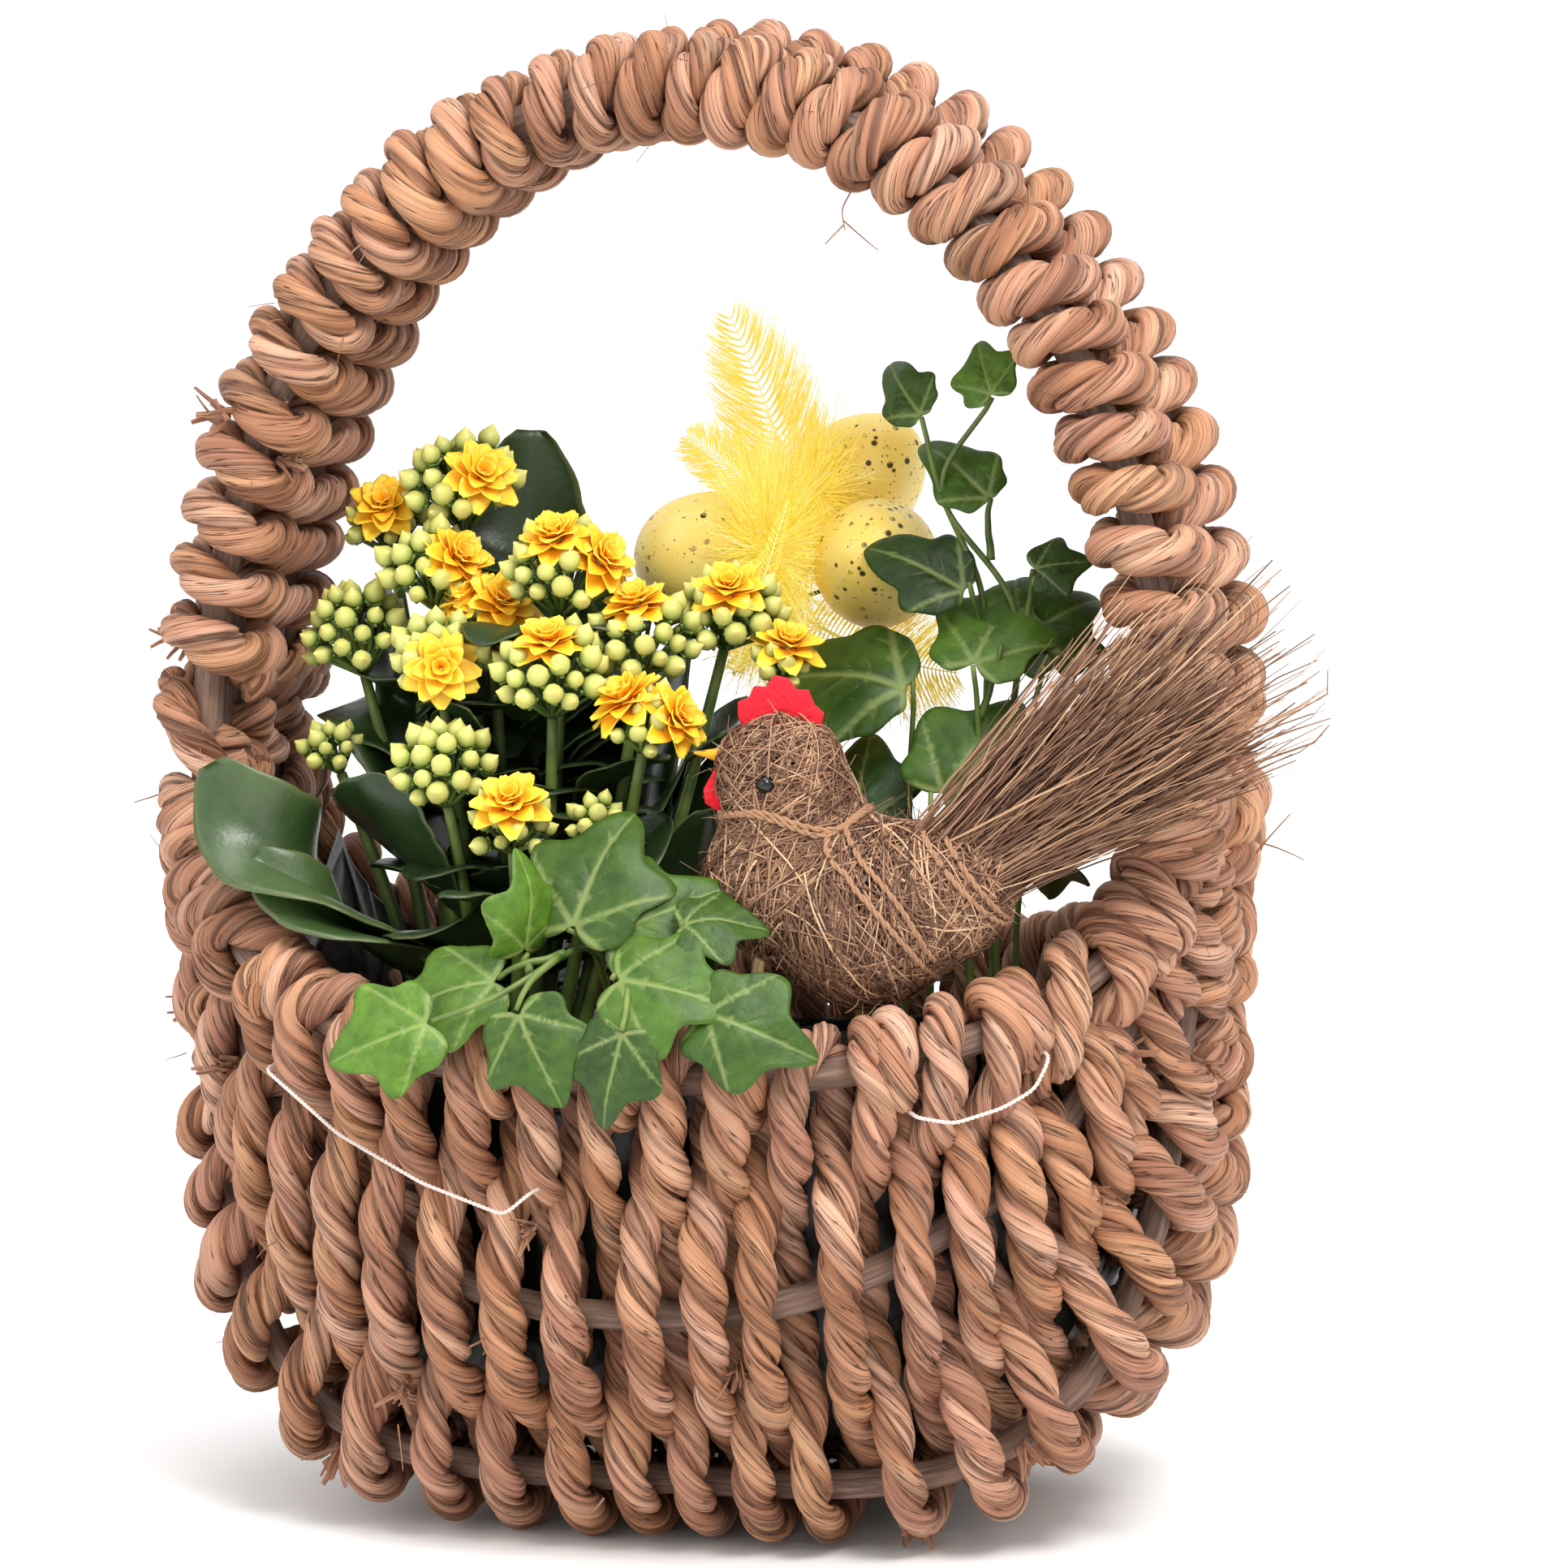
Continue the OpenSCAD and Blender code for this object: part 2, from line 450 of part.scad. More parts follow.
front_hoop();
back_hoop();
rib_front_upper();
rib_front_lower();
rib_keel();
rib_back_lower();
rib_back_upper();
weave_front();
weave_base();
weave_back();
weave_left_side();
weave_right_side();
weave_left_leg();
weave_right_leg();
handle_lacing();
liner_film();
stitch_left();
stitch_right();
soil();
kalanchoe_stems();
kalanchoe_leaves();
kalanchoe_heads();
kalanchoe_flowers();
ivy_front_vines();
ivy_front_leaves();
ivy_back_vines();
ivy_back_leaves();
egg_stick();
egg_wires();
egg_left();
egg_front();
egg_back();
egg_down_tuft();
feather_tall();
feather_short();
feather_front();
feather_low();
hen_body();
hen_head();
hen_tail();
hen_comb();
hen_wattle();
hen_beak();
hen_eyes();
hen_neck_twine();
hen_chest_twine();
hen_tail_twine();
hen_stick();
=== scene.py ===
"""The looks of the planted easter basket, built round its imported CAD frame. Lengths are in millimetres until
a mesh is made, and MM turns them into metres."""
import math

import bpy
import numpy as np
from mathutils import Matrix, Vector


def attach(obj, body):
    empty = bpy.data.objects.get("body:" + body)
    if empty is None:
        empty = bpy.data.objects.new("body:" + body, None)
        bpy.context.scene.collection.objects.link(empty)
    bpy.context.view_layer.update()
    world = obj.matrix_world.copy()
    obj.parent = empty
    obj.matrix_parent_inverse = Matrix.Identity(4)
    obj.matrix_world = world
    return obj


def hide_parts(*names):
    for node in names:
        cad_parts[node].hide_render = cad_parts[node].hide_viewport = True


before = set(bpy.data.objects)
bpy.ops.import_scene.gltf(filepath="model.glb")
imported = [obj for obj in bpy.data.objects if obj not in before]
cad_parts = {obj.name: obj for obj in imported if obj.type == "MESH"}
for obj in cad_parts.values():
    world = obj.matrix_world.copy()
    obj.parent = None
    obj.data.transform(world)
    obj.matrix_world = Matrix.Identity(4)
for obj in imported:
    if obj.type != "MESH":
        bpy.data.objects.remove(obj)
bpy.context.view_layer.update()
MM = 0.001
RNG = np.random.default_rng(7)

# ---- the shape of the basket, as the CAD model has it ----
HALF_SPAN, LEG_Z, HANDLE_Z = 110.0, 165.0, 320.0
HANDLE_HALF_GAP, LEG_HALF_GAP = 21.0, 26.0
RIB_LOW = (13.5, 15.0, 57.0, 110.0)
RIB_ROUND = (4.0, 4.0, 2.2, 2.6)
RIB_HALF = (0.0, 48.0, 76.0, 80.0)
HOOP_R, RIB_R = 3.5, 3.2
SOIL_Z = 98.0
WALL_OUT, WALL_IN = 12.0, 10.5


def superellipse(w, n):
    return (np.abs(np.cos(w)) ** n + np.abs(np.sin(w)) ** n) ** (-1 / n)


def rod_point(w, rib):
    """Points of a rod at angles w in degrees: 0 is the right leg, 90 under the base, 180 the left leg and 270
    the top of the handle. rib goes from -3, the front rim, to 3, the back rim."""
    a = np.radians(w)
    j = abs(rib)
    low = np.sin(a) >= 0
    n = np.where(low, RIB_ROUND[j], 2.1)
    r = superellipse(a, n)
    s = np.sin(a) * r
    near = LEG_HALF_GAP * j / 3
    rise = np.clip(s, 0, None) ** (RIB_ROUND[j] / 2 * (0.8 + 0.32 * j))
    y_low = np.sign(rib) * (near + (RIB_HALF[j] - near) * rise)
    y_up = rib / 3 * (HANDLE_HALF_GAP + (LEG_HALF_GAP - HANDLE_HALF_GAP) * np.cos(a) ** 2)
    z = LEG_Z - np.where(low, LEG_Z - RIB_LOW[j], HANDLE_Z - LEG_Z) * s
    return np.stack([HALF_SPAN * np.cos(a) * r, np.where(low, y_low, y_up), z], axis=-1)


def wall_point(w, v):
    """Points of the surface through all seven rods, v from -3 to 3."""
    w, v = np.broadcast_arrays(np.asarray(w, float), np.asarray(v, float))
    rods = np.stack([rod_point(w, rib) for rib in range(-3, 4)])
    rods = np.concatenate([[2 * rods[0] - rods[1]], rods, [2 * rods[-1] - rods[-2]]])
    i = np.clip(np.floor(v), -3, 2).astype(int)
    t = (v - i)[..., None]
    p = [np.take_along_axis(rods, (i + 3 + k)[None, ..., None], 0)[0] for k in range(4)]
    return 0.5 * (2 * p[1] + (p[2] - p[0]) * t + (2 * p[0] - 5 * p[1] + 4 * p[2] - p[3]) * t * t
                  + (3 * p[1] - p[0] - 3 * p[2] + p[3]) * t ** 3)


def unit(a):
    return a / np.maximum(np.linalg.norm(a, axis=-1, keepdims=True), 1e-9)


def wall_frame(w, v):
    """The unit vectors out of the wall, along the rods and on past the back rim."""
    along = unit(wall_point(w + 0.5, v) - wall_point(w - 0.5, v))
    across = wall_point(w, np.minimum(v + 0.05, 3)) - wall_point(w, np.maximum(v - 0.05, -3))
    out = unit(np.cross(along, across))
    return out, along, np.cross(out, along)


# ---- meshes ----
def smooth_noise(n, length, seed, octaves=1):
    """n values between about -1 and 1 that wander slowly: a new random value every length samples."""
    rng = np.random.default_rng(seed)
    total = np.zeros(n)
    for o in range(octaves):
        step = max(length / 2 ** o, 1.0)
        knots = rng.uniform(-1, 1, int(n / step) + 4)
        x = np.arange(n) / step
        i = x.astype(int)
        t = x - i
        t = t * t * (3 - 2 * t)
        total += (knots[i] * (1 - t) + knots[i + 1] * t) / 2 ** o
    return total


def path_frames(p):
    """Tangents and a pair of normals that don't spin along a path."""
    t = unit(np.gradient(p, axis=0))
    n = np.zeros_like(p)
    first = np.cross(t[0], [0.3, 0.9, 0.2])
    n[0] = first / np.linalg.norm(first)
    for i in range(1, len(p)):
        a = n[i - 1] - t[i] * np.dot(n[i - 1], t[i])
        n[i] = a / max(np.linalg.norm(a), 1e-9)
    return t, n, np.cross(t, n)


def resample(p, step, ease=0):
    """The path at even steps, its corners eased over that many steps each way."""
    d = np.concatenate([[0], np.cumsum(np.linalg.norm(np.diff(p, axis=0), axis=1))])
    s = np.linspace(0, d[-1], max(int(d[-1] / step) + 1, 3))
    q = np.stack([np.interp(s, d, p[:, k]) for k in range(3)], axis=1)
    for _ in range(2 if ease else 0):
        kernel = np.ones(2 * ease + 1) / (2 * ease + 1)
        pad = np.concatenate([np.repeat(q[:1], ease, 0), q, np.repeat(q[-1:], ease, 0)])
        q = np.stack([np.convolve(pad[:, k], kernel, "valid") for k in range(3)], axis=1)
    return q


def stack(x, y, z):
    """Points from their coordinates, each an array that spreads over the others."""
    return np.stack(np.broadcast_arrays(x, y, z), axis=-1)


def over_grid(value, rows, cols):
    """A number, or an array of numbers or of vectors, given to every point of a grid."""
    value = np.asarray(value, float)
    value = value if value.ndim == 3 else value[..., None]
    return np.broadcast_to(value, (rows, cols, value.shape[-1]))


def tube(rings, attrs=None):
    """A closed tube from an array of rings, rows x sides x 3, with attributes that spread over its points."""
    rows, cols = rings.shape[:2]
    i = np.arange(rows - 1)[:, None] * cols
    j = np.arange(cols)
    k = (j + 1) % cols
    quads = np.stack([i + j, i + k, i + cols + k, i + cols + j], axis=-1).reshape(-1, 4)
    first = np.stack([np.full(cols, rows * cols), k, j], axis=1)
    last = np.stack([np.full(cols, rows * cols + 1), (rows - 1) * cols + j, (rows - 1) * cols + k], axis=1)
    values = {}
    for key, value in (attrs or {}).items():
        value = over_grid(value, rows, cols).reshape(rows * cols, -1)
        values[key] = np.concatenate([value, value[:1], value[-1:]])
    verts = np.concatenate([rings.reshape(-1, 3), rings[:1].mean(1), rings[-1:].mean(1)])
    return verts, quads, np.concatenate([first, last]), values


def round_tube(p, radius, sides, attrs=None):
    """A round tube along a path; radius is one number or one for each point."""
    _, n, b = path_frames(p)
    a = np.linspace(0, 2 * np.pi, sides, endpoint=False)
    ring = n[:, None] * np.cos(a)[None, :, None] + b[:, None] * np.sin(a)[None, :, None]
    rings = p[:, None] + ring * np.broadcast_to(radius, len(p))[:, None, None]
    return tube(rings, attrs)


def make(name, parts, material, body, replaces):
    """One Blender piece from parts, each (points, quads, triangles, attributes)."""
    base, verts, loops, sizes, attrs = 0, [], [], [], {}
    for v, quads, tris, extra in parts:
        verts.append(v)
        for f in (quads, tris):
            if len(f):
                loops.append((f + base).reshape(-1))
                sizes.append(np.full(len(f), f.shape[1]))
        for key, value in extra.items():
            attrs.setdefault(key, []).append(value)
        base += len(v)
    verts, loops, sizes = np.concatenate(verts), np.concatenate(loops), np.concatenate(sizes)
    mesh = bpy.data.meshes.new(name)
    mesh.vertices.add(len(verts))
    mesh.vertices.foreach_set("co", (verts * MM).ravel())
    mesh.loops.add(len(loops))
    mesh.loops.foreach_set("vertex_index", loops.astype(np.int32))
    mesh.polygons.add(len(sizes))
    mesh.polygons.foreach_set("loop_start", np.concatenate([[0], np.cumsum(sizes)[:-1]]).astype(np.int32))
    mesh.polygons.foreach_set("use_smooth", np.ones(len(sizes), bool))
    for key, values in attrs.items():
        value = np.concatenate(values)
        kind, field = ("FLOAT", "value") if value.shape[1] == 1 else ("FLOAT_VECTOR", "vector")
        mesh.attributes.new(key, kind, "POINT").data.foreach_set(field, value.ravel().astype(np.float32))
    mesh.update(calc_edges=True)
    mesh.validate()
    obj = bpy.data.objects.new(name, mesh)
    bpy.context.collection.objects.link(obj)
    mesh.materials.append(material)
    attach(obj, body)
    if replaces:
        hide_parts(*replaces)
    return obj


# ---- materials ----
def srgb(r, g, b):
    """A linear colour from the 0 to 255 values of a screen."""
    c = np.array([r, g, b]) / 255
    c = np.where(c <= 0.04045, c / 12.92, ((c + 0.055) / 1.055) ** 2.4)
    return (*c.tolist(), 1.0)


class Shader:
    """A material's node tree, built a call at a time."""

    def __init__(self, name, rough, **sockets):
        self.material = bpy.data.materials.new(name)
        self.material.use_nodes = True
        self.tree = self.material.node_tree
        self.bsdf = self.tree.nodes["Principled BSDF"]
        self.bsdf.inputs["Roughness"].default_value = rough
        for key, value in sockets.items():
            self.bsdf.inputs[key.replace("_", " ")].default_value = value

    def node(self, kind, **inputs):
        n = self.tree.nodes.new(kind)
        for key, value in inputs.items():
            self.put(value, n.inputs[key.replace("_", " ")])
        return n

    def put(self, value, socket):
        if isinstance(value, bpy.types.NodeSocket):
            self.tree.links.new(value, socket)
        else:
            socket.default_value = value

    def attribute(self, name, output="Fac"):
        n = self.node("ShaderNodeAttribute")
        n.attribute_name = name
        return n.outputs[output]

    def place(self):
        return self.node("ShaderNodeTexCoord").outputs["Object"]

    def scaled(self, vector, scale):
        n = self.node("ShaderNodeMapping", Vector=vector)
        n.inputs["Scale"].default_value = scale
        return n.outputs["Vector"]

    def noise(self, vector, scale, detail, rough=0.5):
        n = self.node("ShaderNodeTexNoise", Vector=vector, Scale=scale, Detail=detail, Roughness=rough)
        return n.outputs["Fac"]

    def cells(self, vector, scale):
        return self.node("ShaderNodeTexVoronoi", Vector=vector, Scale=scale).outputs["Distance"]

    def ramp(self, value, stops):
        n = self.node("ShaderNodeValToRGB", Fac=value)
        points = n.color_ramp.elements
        while len(points) < len(stops):
            points.new(0.5)
        for point, (at, colour) in zip(points, stops):
            point.position = at
            point.color = colour if hasattr(colour, "__len__") else (colour, colour, colour, 1)
        return n.outputs["Color"]

    def math(self, operation, a, b=0.0):
        n = self.node("ShaderNodeMath")
        n.operation = operation
        self.put(a, n.inputs[0])
        self.put(b, n.inputs[1])
        return n.outputs[0]

    def mix(self, fac, a, b):
        n = self.node("ShaderNodeMix")
        n.data_type = "RGBA"
        self.put(fac, n.inputs[0])
        self.put(a, n.inputs[6])
        self.put(b, n.inputs[7])
        return n.outputs[2]

    def colour(self, value):
        self.put(value, self.bsdf.inputs["Base Color"])

    def rough(self, value):
        self.put(value, self.bsdf.inputs["Roughness"])

    def bump(self, height, distance, strength):
        before = self.bsdf.inputs["Normal"].links
        n = self.node("ShaderNodeBump", Height=height, Distance=distance, Strength=strength)
        if before:
            self.tree.links.new(before[0].from_socket, n.inputs["Normal"])
        self.tree.links.new(n.outputs["Normal"], self.bsdf.inputs["Normal"])


def rope_material():
    """Dried leaf: tan, with fine fibres, painted shade darkening the creases along each strand, and greyer or
    redder places.
    """
    s = Shader("dried_leaf_rope", 0.6, Specular_IOR_Level=0.35)
    leaf = s.attribute("leaf", "Vector")
    patch = s.noise(s.scaled(leaf, (0.5, 0.5, 0.035)), 1.0, 3.0, 0.5)
    streak = s.noise(s.scaled(leaf, (4.5, 4.5, 0.045)), 1.6, 5.0, 0.6)
    fine = s.noise(s.scaled(leaf, (13.0, 13.0, 0.06)), 2.2, 3.0, 0.6)
    crease = s.noise(s.scaled(leaf, (1.9, 1.9, 0.035)), 1.4, 2.0, 0.5)
    pale = s.ramp(patch, [(0.32, srgb(150, 100, 76)), (0.48, srgb(184, 132, 106)),
                          (0.68, srgb(212, 168, 142))])
    warm = s.ramp(patch, [(0.32, srgb(134, 86, 58)), (0.5, srgb(174, 120, 84)), (0.68, srgb(202, 152, 114))])
    base = s.mix(s.attribute("tone"), pale, warm)
    grey = s.ramp(s.noise(s.scaled(leaf, (0.35, 0.35, 0.014)), 1.3, 2.0), [(0.60, 0.0), (0.74, 0.55)])
    base = s.mix(grey, base, srgb(142, 122, 102))
    base = s.mix(s.ramp(streak, [(0.30, 0.5), (0.5, 0.0)]), base, srgb(122, 76, 50))
    base = s.mix(s.ramp(fine, [(0.54, 0.0), (0.74, 0.32)]), base, srgb(226, 188, 156))
    # Painted shade: thin dark lines along the noise creases, which the bump below also sinks into grooves.
    line = s.ramp(s.math("ABSOLUTE", s.math("SUBTRACT", crease, 0.5)), [(0.004, 0.85), (0.020, 0.0)])
    crease_line_shaded = s.mix(line, base, srgb(74, 42, 28))
    # Painted shade: fold is the strand's crease depth from the geometry, and the deeper the crease the darker
    # brown it is painted.
    fold = s.ramp(s.attribute("fold"), [(0.1, 0.0), (1.0, 0.8)])
    s.colour(s.mix(fold, crease_line_shaded, srgb(78, 44, 28)))
    s.rough(s.ramp(fine, [(0.3, 0.74), (0.6, 0.54)]))
    s.bump(s.math("MULTIPLY", line, -1.0), 0.0009, 0.8)
    s.bump(streak, 0.0006, 0.5)
    s.bump(fine, 0.0003, 0.5)
    return s.material


def rod_material():
    """Willow bark: grey-brown, streaked along the rod, with knots."""
    s = Shader("willow_bark", 0.72, Specular_IOR_Level=0.3)
    leaf = s.attribute("leaf", "Vector")
    streak = s.noise(s.scaled(leaf, (2.5, 2.5, 0.05)), 1.5, 6.0, 0.65)
    patch = s.noise(s.scaled(leaf, (0.6, 0.6, 0.06)), 1.0, 3.0)
    base = s.ramp(streak, [(0.3, srgb(72, 54, 46)), (0.5, srgb(118, 94, 82)), (0.72, srgb(158, 132, 118))])
    s.colour(s.mix(s.ramp(patch, [(0.45, 0.0), (0.7, 0.6)]), base, srgb(134, 104, 84)))
    s.bump(streak, 0.0006, 0.6)
    return s.material


# ---- rope ----
ROPE_STEP = 1.4
LAY = 29.0
PLY_SIDES = 26
MAX_RINGS = 1850
BODY_ROPE_R, SHORT_ROPE_R, HANDLE_ROPE_R = 4.9, 4.7, 5.3


def ply_part(centre, n, b, turn, radius, seed, dist):
    """One strand of a two-strand rope: a folded leaf, creased along it. turn is its angle round the rope."""
    rings = len(centre)
    out = n * np.cos(turn)[:, None] + b * np.sin(turn)[:, None]
    axis = centre + out * (radius * 0.47)[:, None]
    t = unit(np.gradient(axis, axis=0))
    side = unit(np.cross(t, out))
    out = np.cross(side, t)
    a = np.linspace(0, 2 * np.pi, PLY_SIDES, endpoint=False)[None, :]
    rng = np.random.default_rng(seed)
    swell = 1 + (0.14 * smooth_noise(rings, 14, seed + 1) + 0.06 * smooth_noise(rings, 5, seed + 2))[:, None]
    depth = np.zeros((rings, PLY_SIDES))
    for k in range(9):
        at = rng.uniform(-2.6, 2.6) + 0.7 * smooth_noise(rings, 22, seed + 10 + k)[:, None]
        gap = np.abs((a - at + np.pi) % (2 * np.pi) - np.pi)
        strength = np.clip(0.45 + 0.75 * smooth_noise(rings, 15, seed + 20 + k), 0, 1)[:, None]
        depth += strength * np.exp(-(gap / rng.uniform(0.10, 0.24)) ** 2)
    depth = np.clip(depth, 0, 1.3)
    r = radius[:, None]
    x = np.maximum(0.56 * r * swell * np.cos(a), -0.47 * r)
    y = 0.70 * r * swell * np.sin(a)
    size = 1 - 0.16 * depth
    ring = out[:, None] * (x * size)[..., None] + side[:, None] * (y * size)[..., None]
    tone = 0.5 + 0.8 * smooth_noise(rings, 90, seed + 40) + 0.3 * smooth_noise(rings, 12, seed + 41)
    tone = np.clip(tone, 0, 1)
    leaf = stack(np.cos(a), np.sin(a), dist[:, None] + seed * 37.0)
    # fold carries the crease depth that the rope material paints as shade in the creases.
    return axis[:, None] + ring, {"leaf": leaf, "fold": np.clip(depth, 0, 1), "tone": tone[:, None]}


def rope_parts(path, radius, seed):
    """The strands of a twisted rope along a path, cut into runs of at most MAX_RINGS rings."""
    p = resample(path, ROPE_STEP, 2)
    n = len(p)
    dist = np.arange(n) * ROPE_STEP
    _, a, b = path_frames(p)
    wander = np.cumsum(1 + 0.22 * smooth_noise(n, 22, seed)) * ROPE_STEP
    r = radius * (1 + 0.12 * smooth_noise(n, 24, seed + 3) + 0.06 * smooth_noise(n, 7, seed + 4))
    runs = []
    strands = [ply_part(p, a, b, -2 * np.pi * wander / LAY + k * np.pi, r, seed + 100 * (k + 1), dist)
               for k in range(2)]
    for start in range(0, n - 1, MAX_RINGS):
        stop = min(start + MAX_RINGS + 1, n)
        runs.append([tube(rings[start:stop], {key: value[start:stop] for key, value in attrs.items()})
                     for rings, attrs in strands])
    return runs


OVER = 7.7                # rope centre to rod centre where it crosses the rod
FULL_STEP, SIDE_STEP = 7.2, 10.2
ROW_SAMPLES = 26


def crossing_offset(v, at, sides, swap=0.62):
    """How far out a row lies at v. It passes the crossings at on sides, 1 for outside and -1 for inside."""
    i = np.clip(np.searchsorted(at, v, "right") - 1, 0, len(at) - 2)
    at, sides = np.array(at, float), np.array(sides, float)
    t = (v - at[i]) / (at[i + 1] - at[i])
    t = np.clip((t - (1 - swap) / 2) / swap, 0, 1)
    t = t * t * (3 - 2 * t)
    return sides[i] * (1 - t) + sides[i + 1] * t


def row(w0, w1, at, sides, forward=True):
    """A pass of rope over the rods from the first crossing to the last, its place shifting from w0 to w1."""
    v = np.linspace(at[0], at[-1], ROW_SAMPLES * (len(at) - 1))
    off = crossing_offset(v, at, sides) * OVER
    if not forward:
        v, off = v[::-1], off[::-1]
    w = np.linspace(w0, w1, len(v))
    out, _, _ = wall_frame(w, v)
    p = wall_point(w, v) + out * off[:, None]
    p[:, 2] = np.maximum(p[:, 2], BODY_ROPE_R)
    return p


def turn_round(w0, w1, v, start, turns):
    """The rope going round a rod: start is 1 from outside or -1 from inside, turns is in half turns."""
    n = 9 * turns
    a = np.linspace(0, math.pi * turns, n + 2)[1:-1]
    a = a if start > 0 else math.pi - a
    w = np.linspace(w0, w1, n)
    out, _, past = wall_frame(w, v)
    past = past * np.sign(v)
    return wall_point(w, v) + OVER * (out * np.cos(a)[:, None] + past * np.sin(a)[:, None])


def crossings(w):
    """Where a row crosses rods at w: all seven rods on the body, bunched together towards the legs."""
    up = abs((w - 90) % 360)
    up = min(up, 360 - up)
    if up < 62:
        return [-3, -2, -1, 0, 1, 2, 3]
    if up < 84:
        return [-3, -1.5, 0, 1.5, 3]
    return [-3, 3]


def alternate(at, first):
    return [first * (-1) ** i for i in range(len(at))]


def body_rows():
    """The places of the full rows round the body, closer under the front and wider apart at the sides."""
    centre = [90 + FULL_STEP * (i + 0.5) for i in range(-7, 7)]
    side = [centre[-1] + SIDE_STEP * (i + 1) for i in range(5)]
    return [180 - w for w in side[::-1]] + centre + side


def body_step(w):
    return FULL_STEP if abs(w - 90) < 50 else SIDE_STEP * 0.55


def weave_path(places):
    """One long rope through full rows: to the back, over its rim, to the front and over the front rim."""
    parts = []
    for i, w in enumerate(places):
        w = w + RNG.uniform(-0.8, 0.8)
        half = body_step(w) / 4
        at = crossings(w)
        a, b = alternate(at, 1), alternate(at, -1)
        parts.append(row(w - half, w - half + RNG.uniform(-1.1, 1.1), at, a))
        parts.append(turn_round(w - half, w + half, at[-1], a[-1], 1))
        parts.append(row(w + half, w + half + RNG.uniform(-1.1, 1.1), at, b, forward=False))
        if i < len(places) - 1:
            after = places[i + 1] - body_step(places[i + 1]) / 4
            parts.append(turn_round(w + half, after, at[0], b[0], 3 if i % 2 == 1 else 1))
    return np.concatenate(parts)


def short_row_path(w, half=1.4):
    """A short row that turns round the second rods and doesn't reach the rims."""
    at = [-2, -1, 0, 1, 2]
    return np.concatenate([
        row(w - half, w - half, at, alternate(at, -1)), turn_round(w - half, w + half, 2, -1, 1),
        row(w + half, w + half, at, alternate(at, 1), forward=False),
        turn_round(w + half, w - half, -2, 1, 1)])


def handle_path():
    """The rope laced in a figure of eight round the two rods of the handle, from leg to leg."""
    parts, w, end = [], 187.0, 353.0
    while w < end:
        lean = abs(w - 270) / 83
        speed = float(np.linalg.norm(rod_point(np.array([w + 1.0]), 0) - rod_point(np.array([w]), 0)))
        step = (10.6 + 3.0 * lean) / speed * RNG.uniform(0.93, 1.07)
        q = step / 4
        parts += [row(w, w + q * 0.6, [-3, 3], [1, -1]), turn_round(w + q * 0.6, w + 1.6 * q, 3, -1, 1),
                  row(w + 1.6 * q, w + 2.6 * q, [-3, 3], [-1, 1], forward=False),
                  turn_round(w + 2.6 * q, w + 4 * q, -3, -1, 1)]
        w += step
    return np.concatenate(parts)


def build_ropes(material):
    places = body_rows()
    nodes = ["weave_front", "weave_base", "weave_back", "weave_left_side", "weave_right_side"]
    for i, run in enumerate(rope_parts(weave_path(places), BODY_ROPE_R, 11)):
        make(f"body_rope_{i + 1:02d}", run, material, "root", nodes)
    side = [(a + b) / 2 for a, b in zip(places[:-1], places[1:]) if abs((a + b) / 2 - 90) > 44]
    for i, w in enumerate(side):
        for run in rope_parts(short_row_path(w), SHORT_ROPE_R, 5000 + 31 * i):
            make(f"short_row_{i + 1:02d}", run, material, "root", nodes)
    legs = ["handle_lacing", "weave_left_leg", "weave_right_leg"]
    for i, run in enumerate(rope_parts(handle_path(), HANDLE_ROPE_R, 900)):
        make(f"handle_rope_{i + 1:02d}", run, material, "root", legs)


# Frayed rope ends on the handle: place, the way they stick out, spread and length
FRAYS = [((-106, -32, 247), (-0.9, -0.4, 0.2), 0.5, 8), ((-115, -28, 196), (-1, -0.2, 0.1), 0.5, 9),
         ((-88, -28, 236), (1, -0.3, -0.1), 0.4, 7), ((104, -24, 219), (1, -0.3, 0.3), 0.35, 8),
         ((-104, 20, 250), (-0.8, 0.5, 0.2), 0.5, 8), ((98, 28, 232), (0.9, 0.5, 0), 0.4, 7)]
# The same on the walls: the two wall coordinates, how far out they start, spread and length
WALL_FRAYS = [(124, -1.0, 9, 0.6, 9), (52, -1.1, 9, 0.6, 9), (63, -0.8, 9, 0.6, 8), (77, -1.8, 9, 0.6, 9),
              (104, -1.9, 9, 0.5, 7), (99, -2.4, 9, 0.5, 7), (30, -2.2, 9, 0.6, 8), (22, -1.2, 9, 0.6, 9),
              (38, -1.7, 9, 0.5, 8), (116, -1.5, 9, 0.6, 7), (146, -2.0, 9, 0.6, 8), (160, -1.0, 9, 0.5, 8),
              (75, 2.0, 9, 0.6, 8), (108, 1.7, 9, 0.6, 8), (30, 1.5, 9, 0.6, 8), (150, 1.8, 9, 0.5, 8)]


def torn_strip(path, wide, tone, far):
    """A flat torn strip that narrows along its path. far is where its grain starts."""
    m = len(path)
    path = np.stack([path[:, 0], path[:, 1], np.maximum(path[:, 2], wide + 0.3)], axis=1)
    _, a, b = path_frames(path)
    ang = np.linspace(0, 2 * np.pi, 8, endpoint=False)
    w = wide * np.linspace(1, 0.45, m)[:, None]
    ring = (path[:, None] + a[:, None] * (w * np.cos(ang))[..., None]
            + b[:, None] * (w * 0.22 * np.sin(ang))[..., None])
    leaf = stack(np.cos(ang), np.sin(ang), np.arange(m)[:, None] * 0.8 + far)
    # The strips' fold of 0.1 gives them none of the rope's painted crease shade.
    return tube(ring, {"leaf": leaf, "fold": 0.1, "tone": tone})


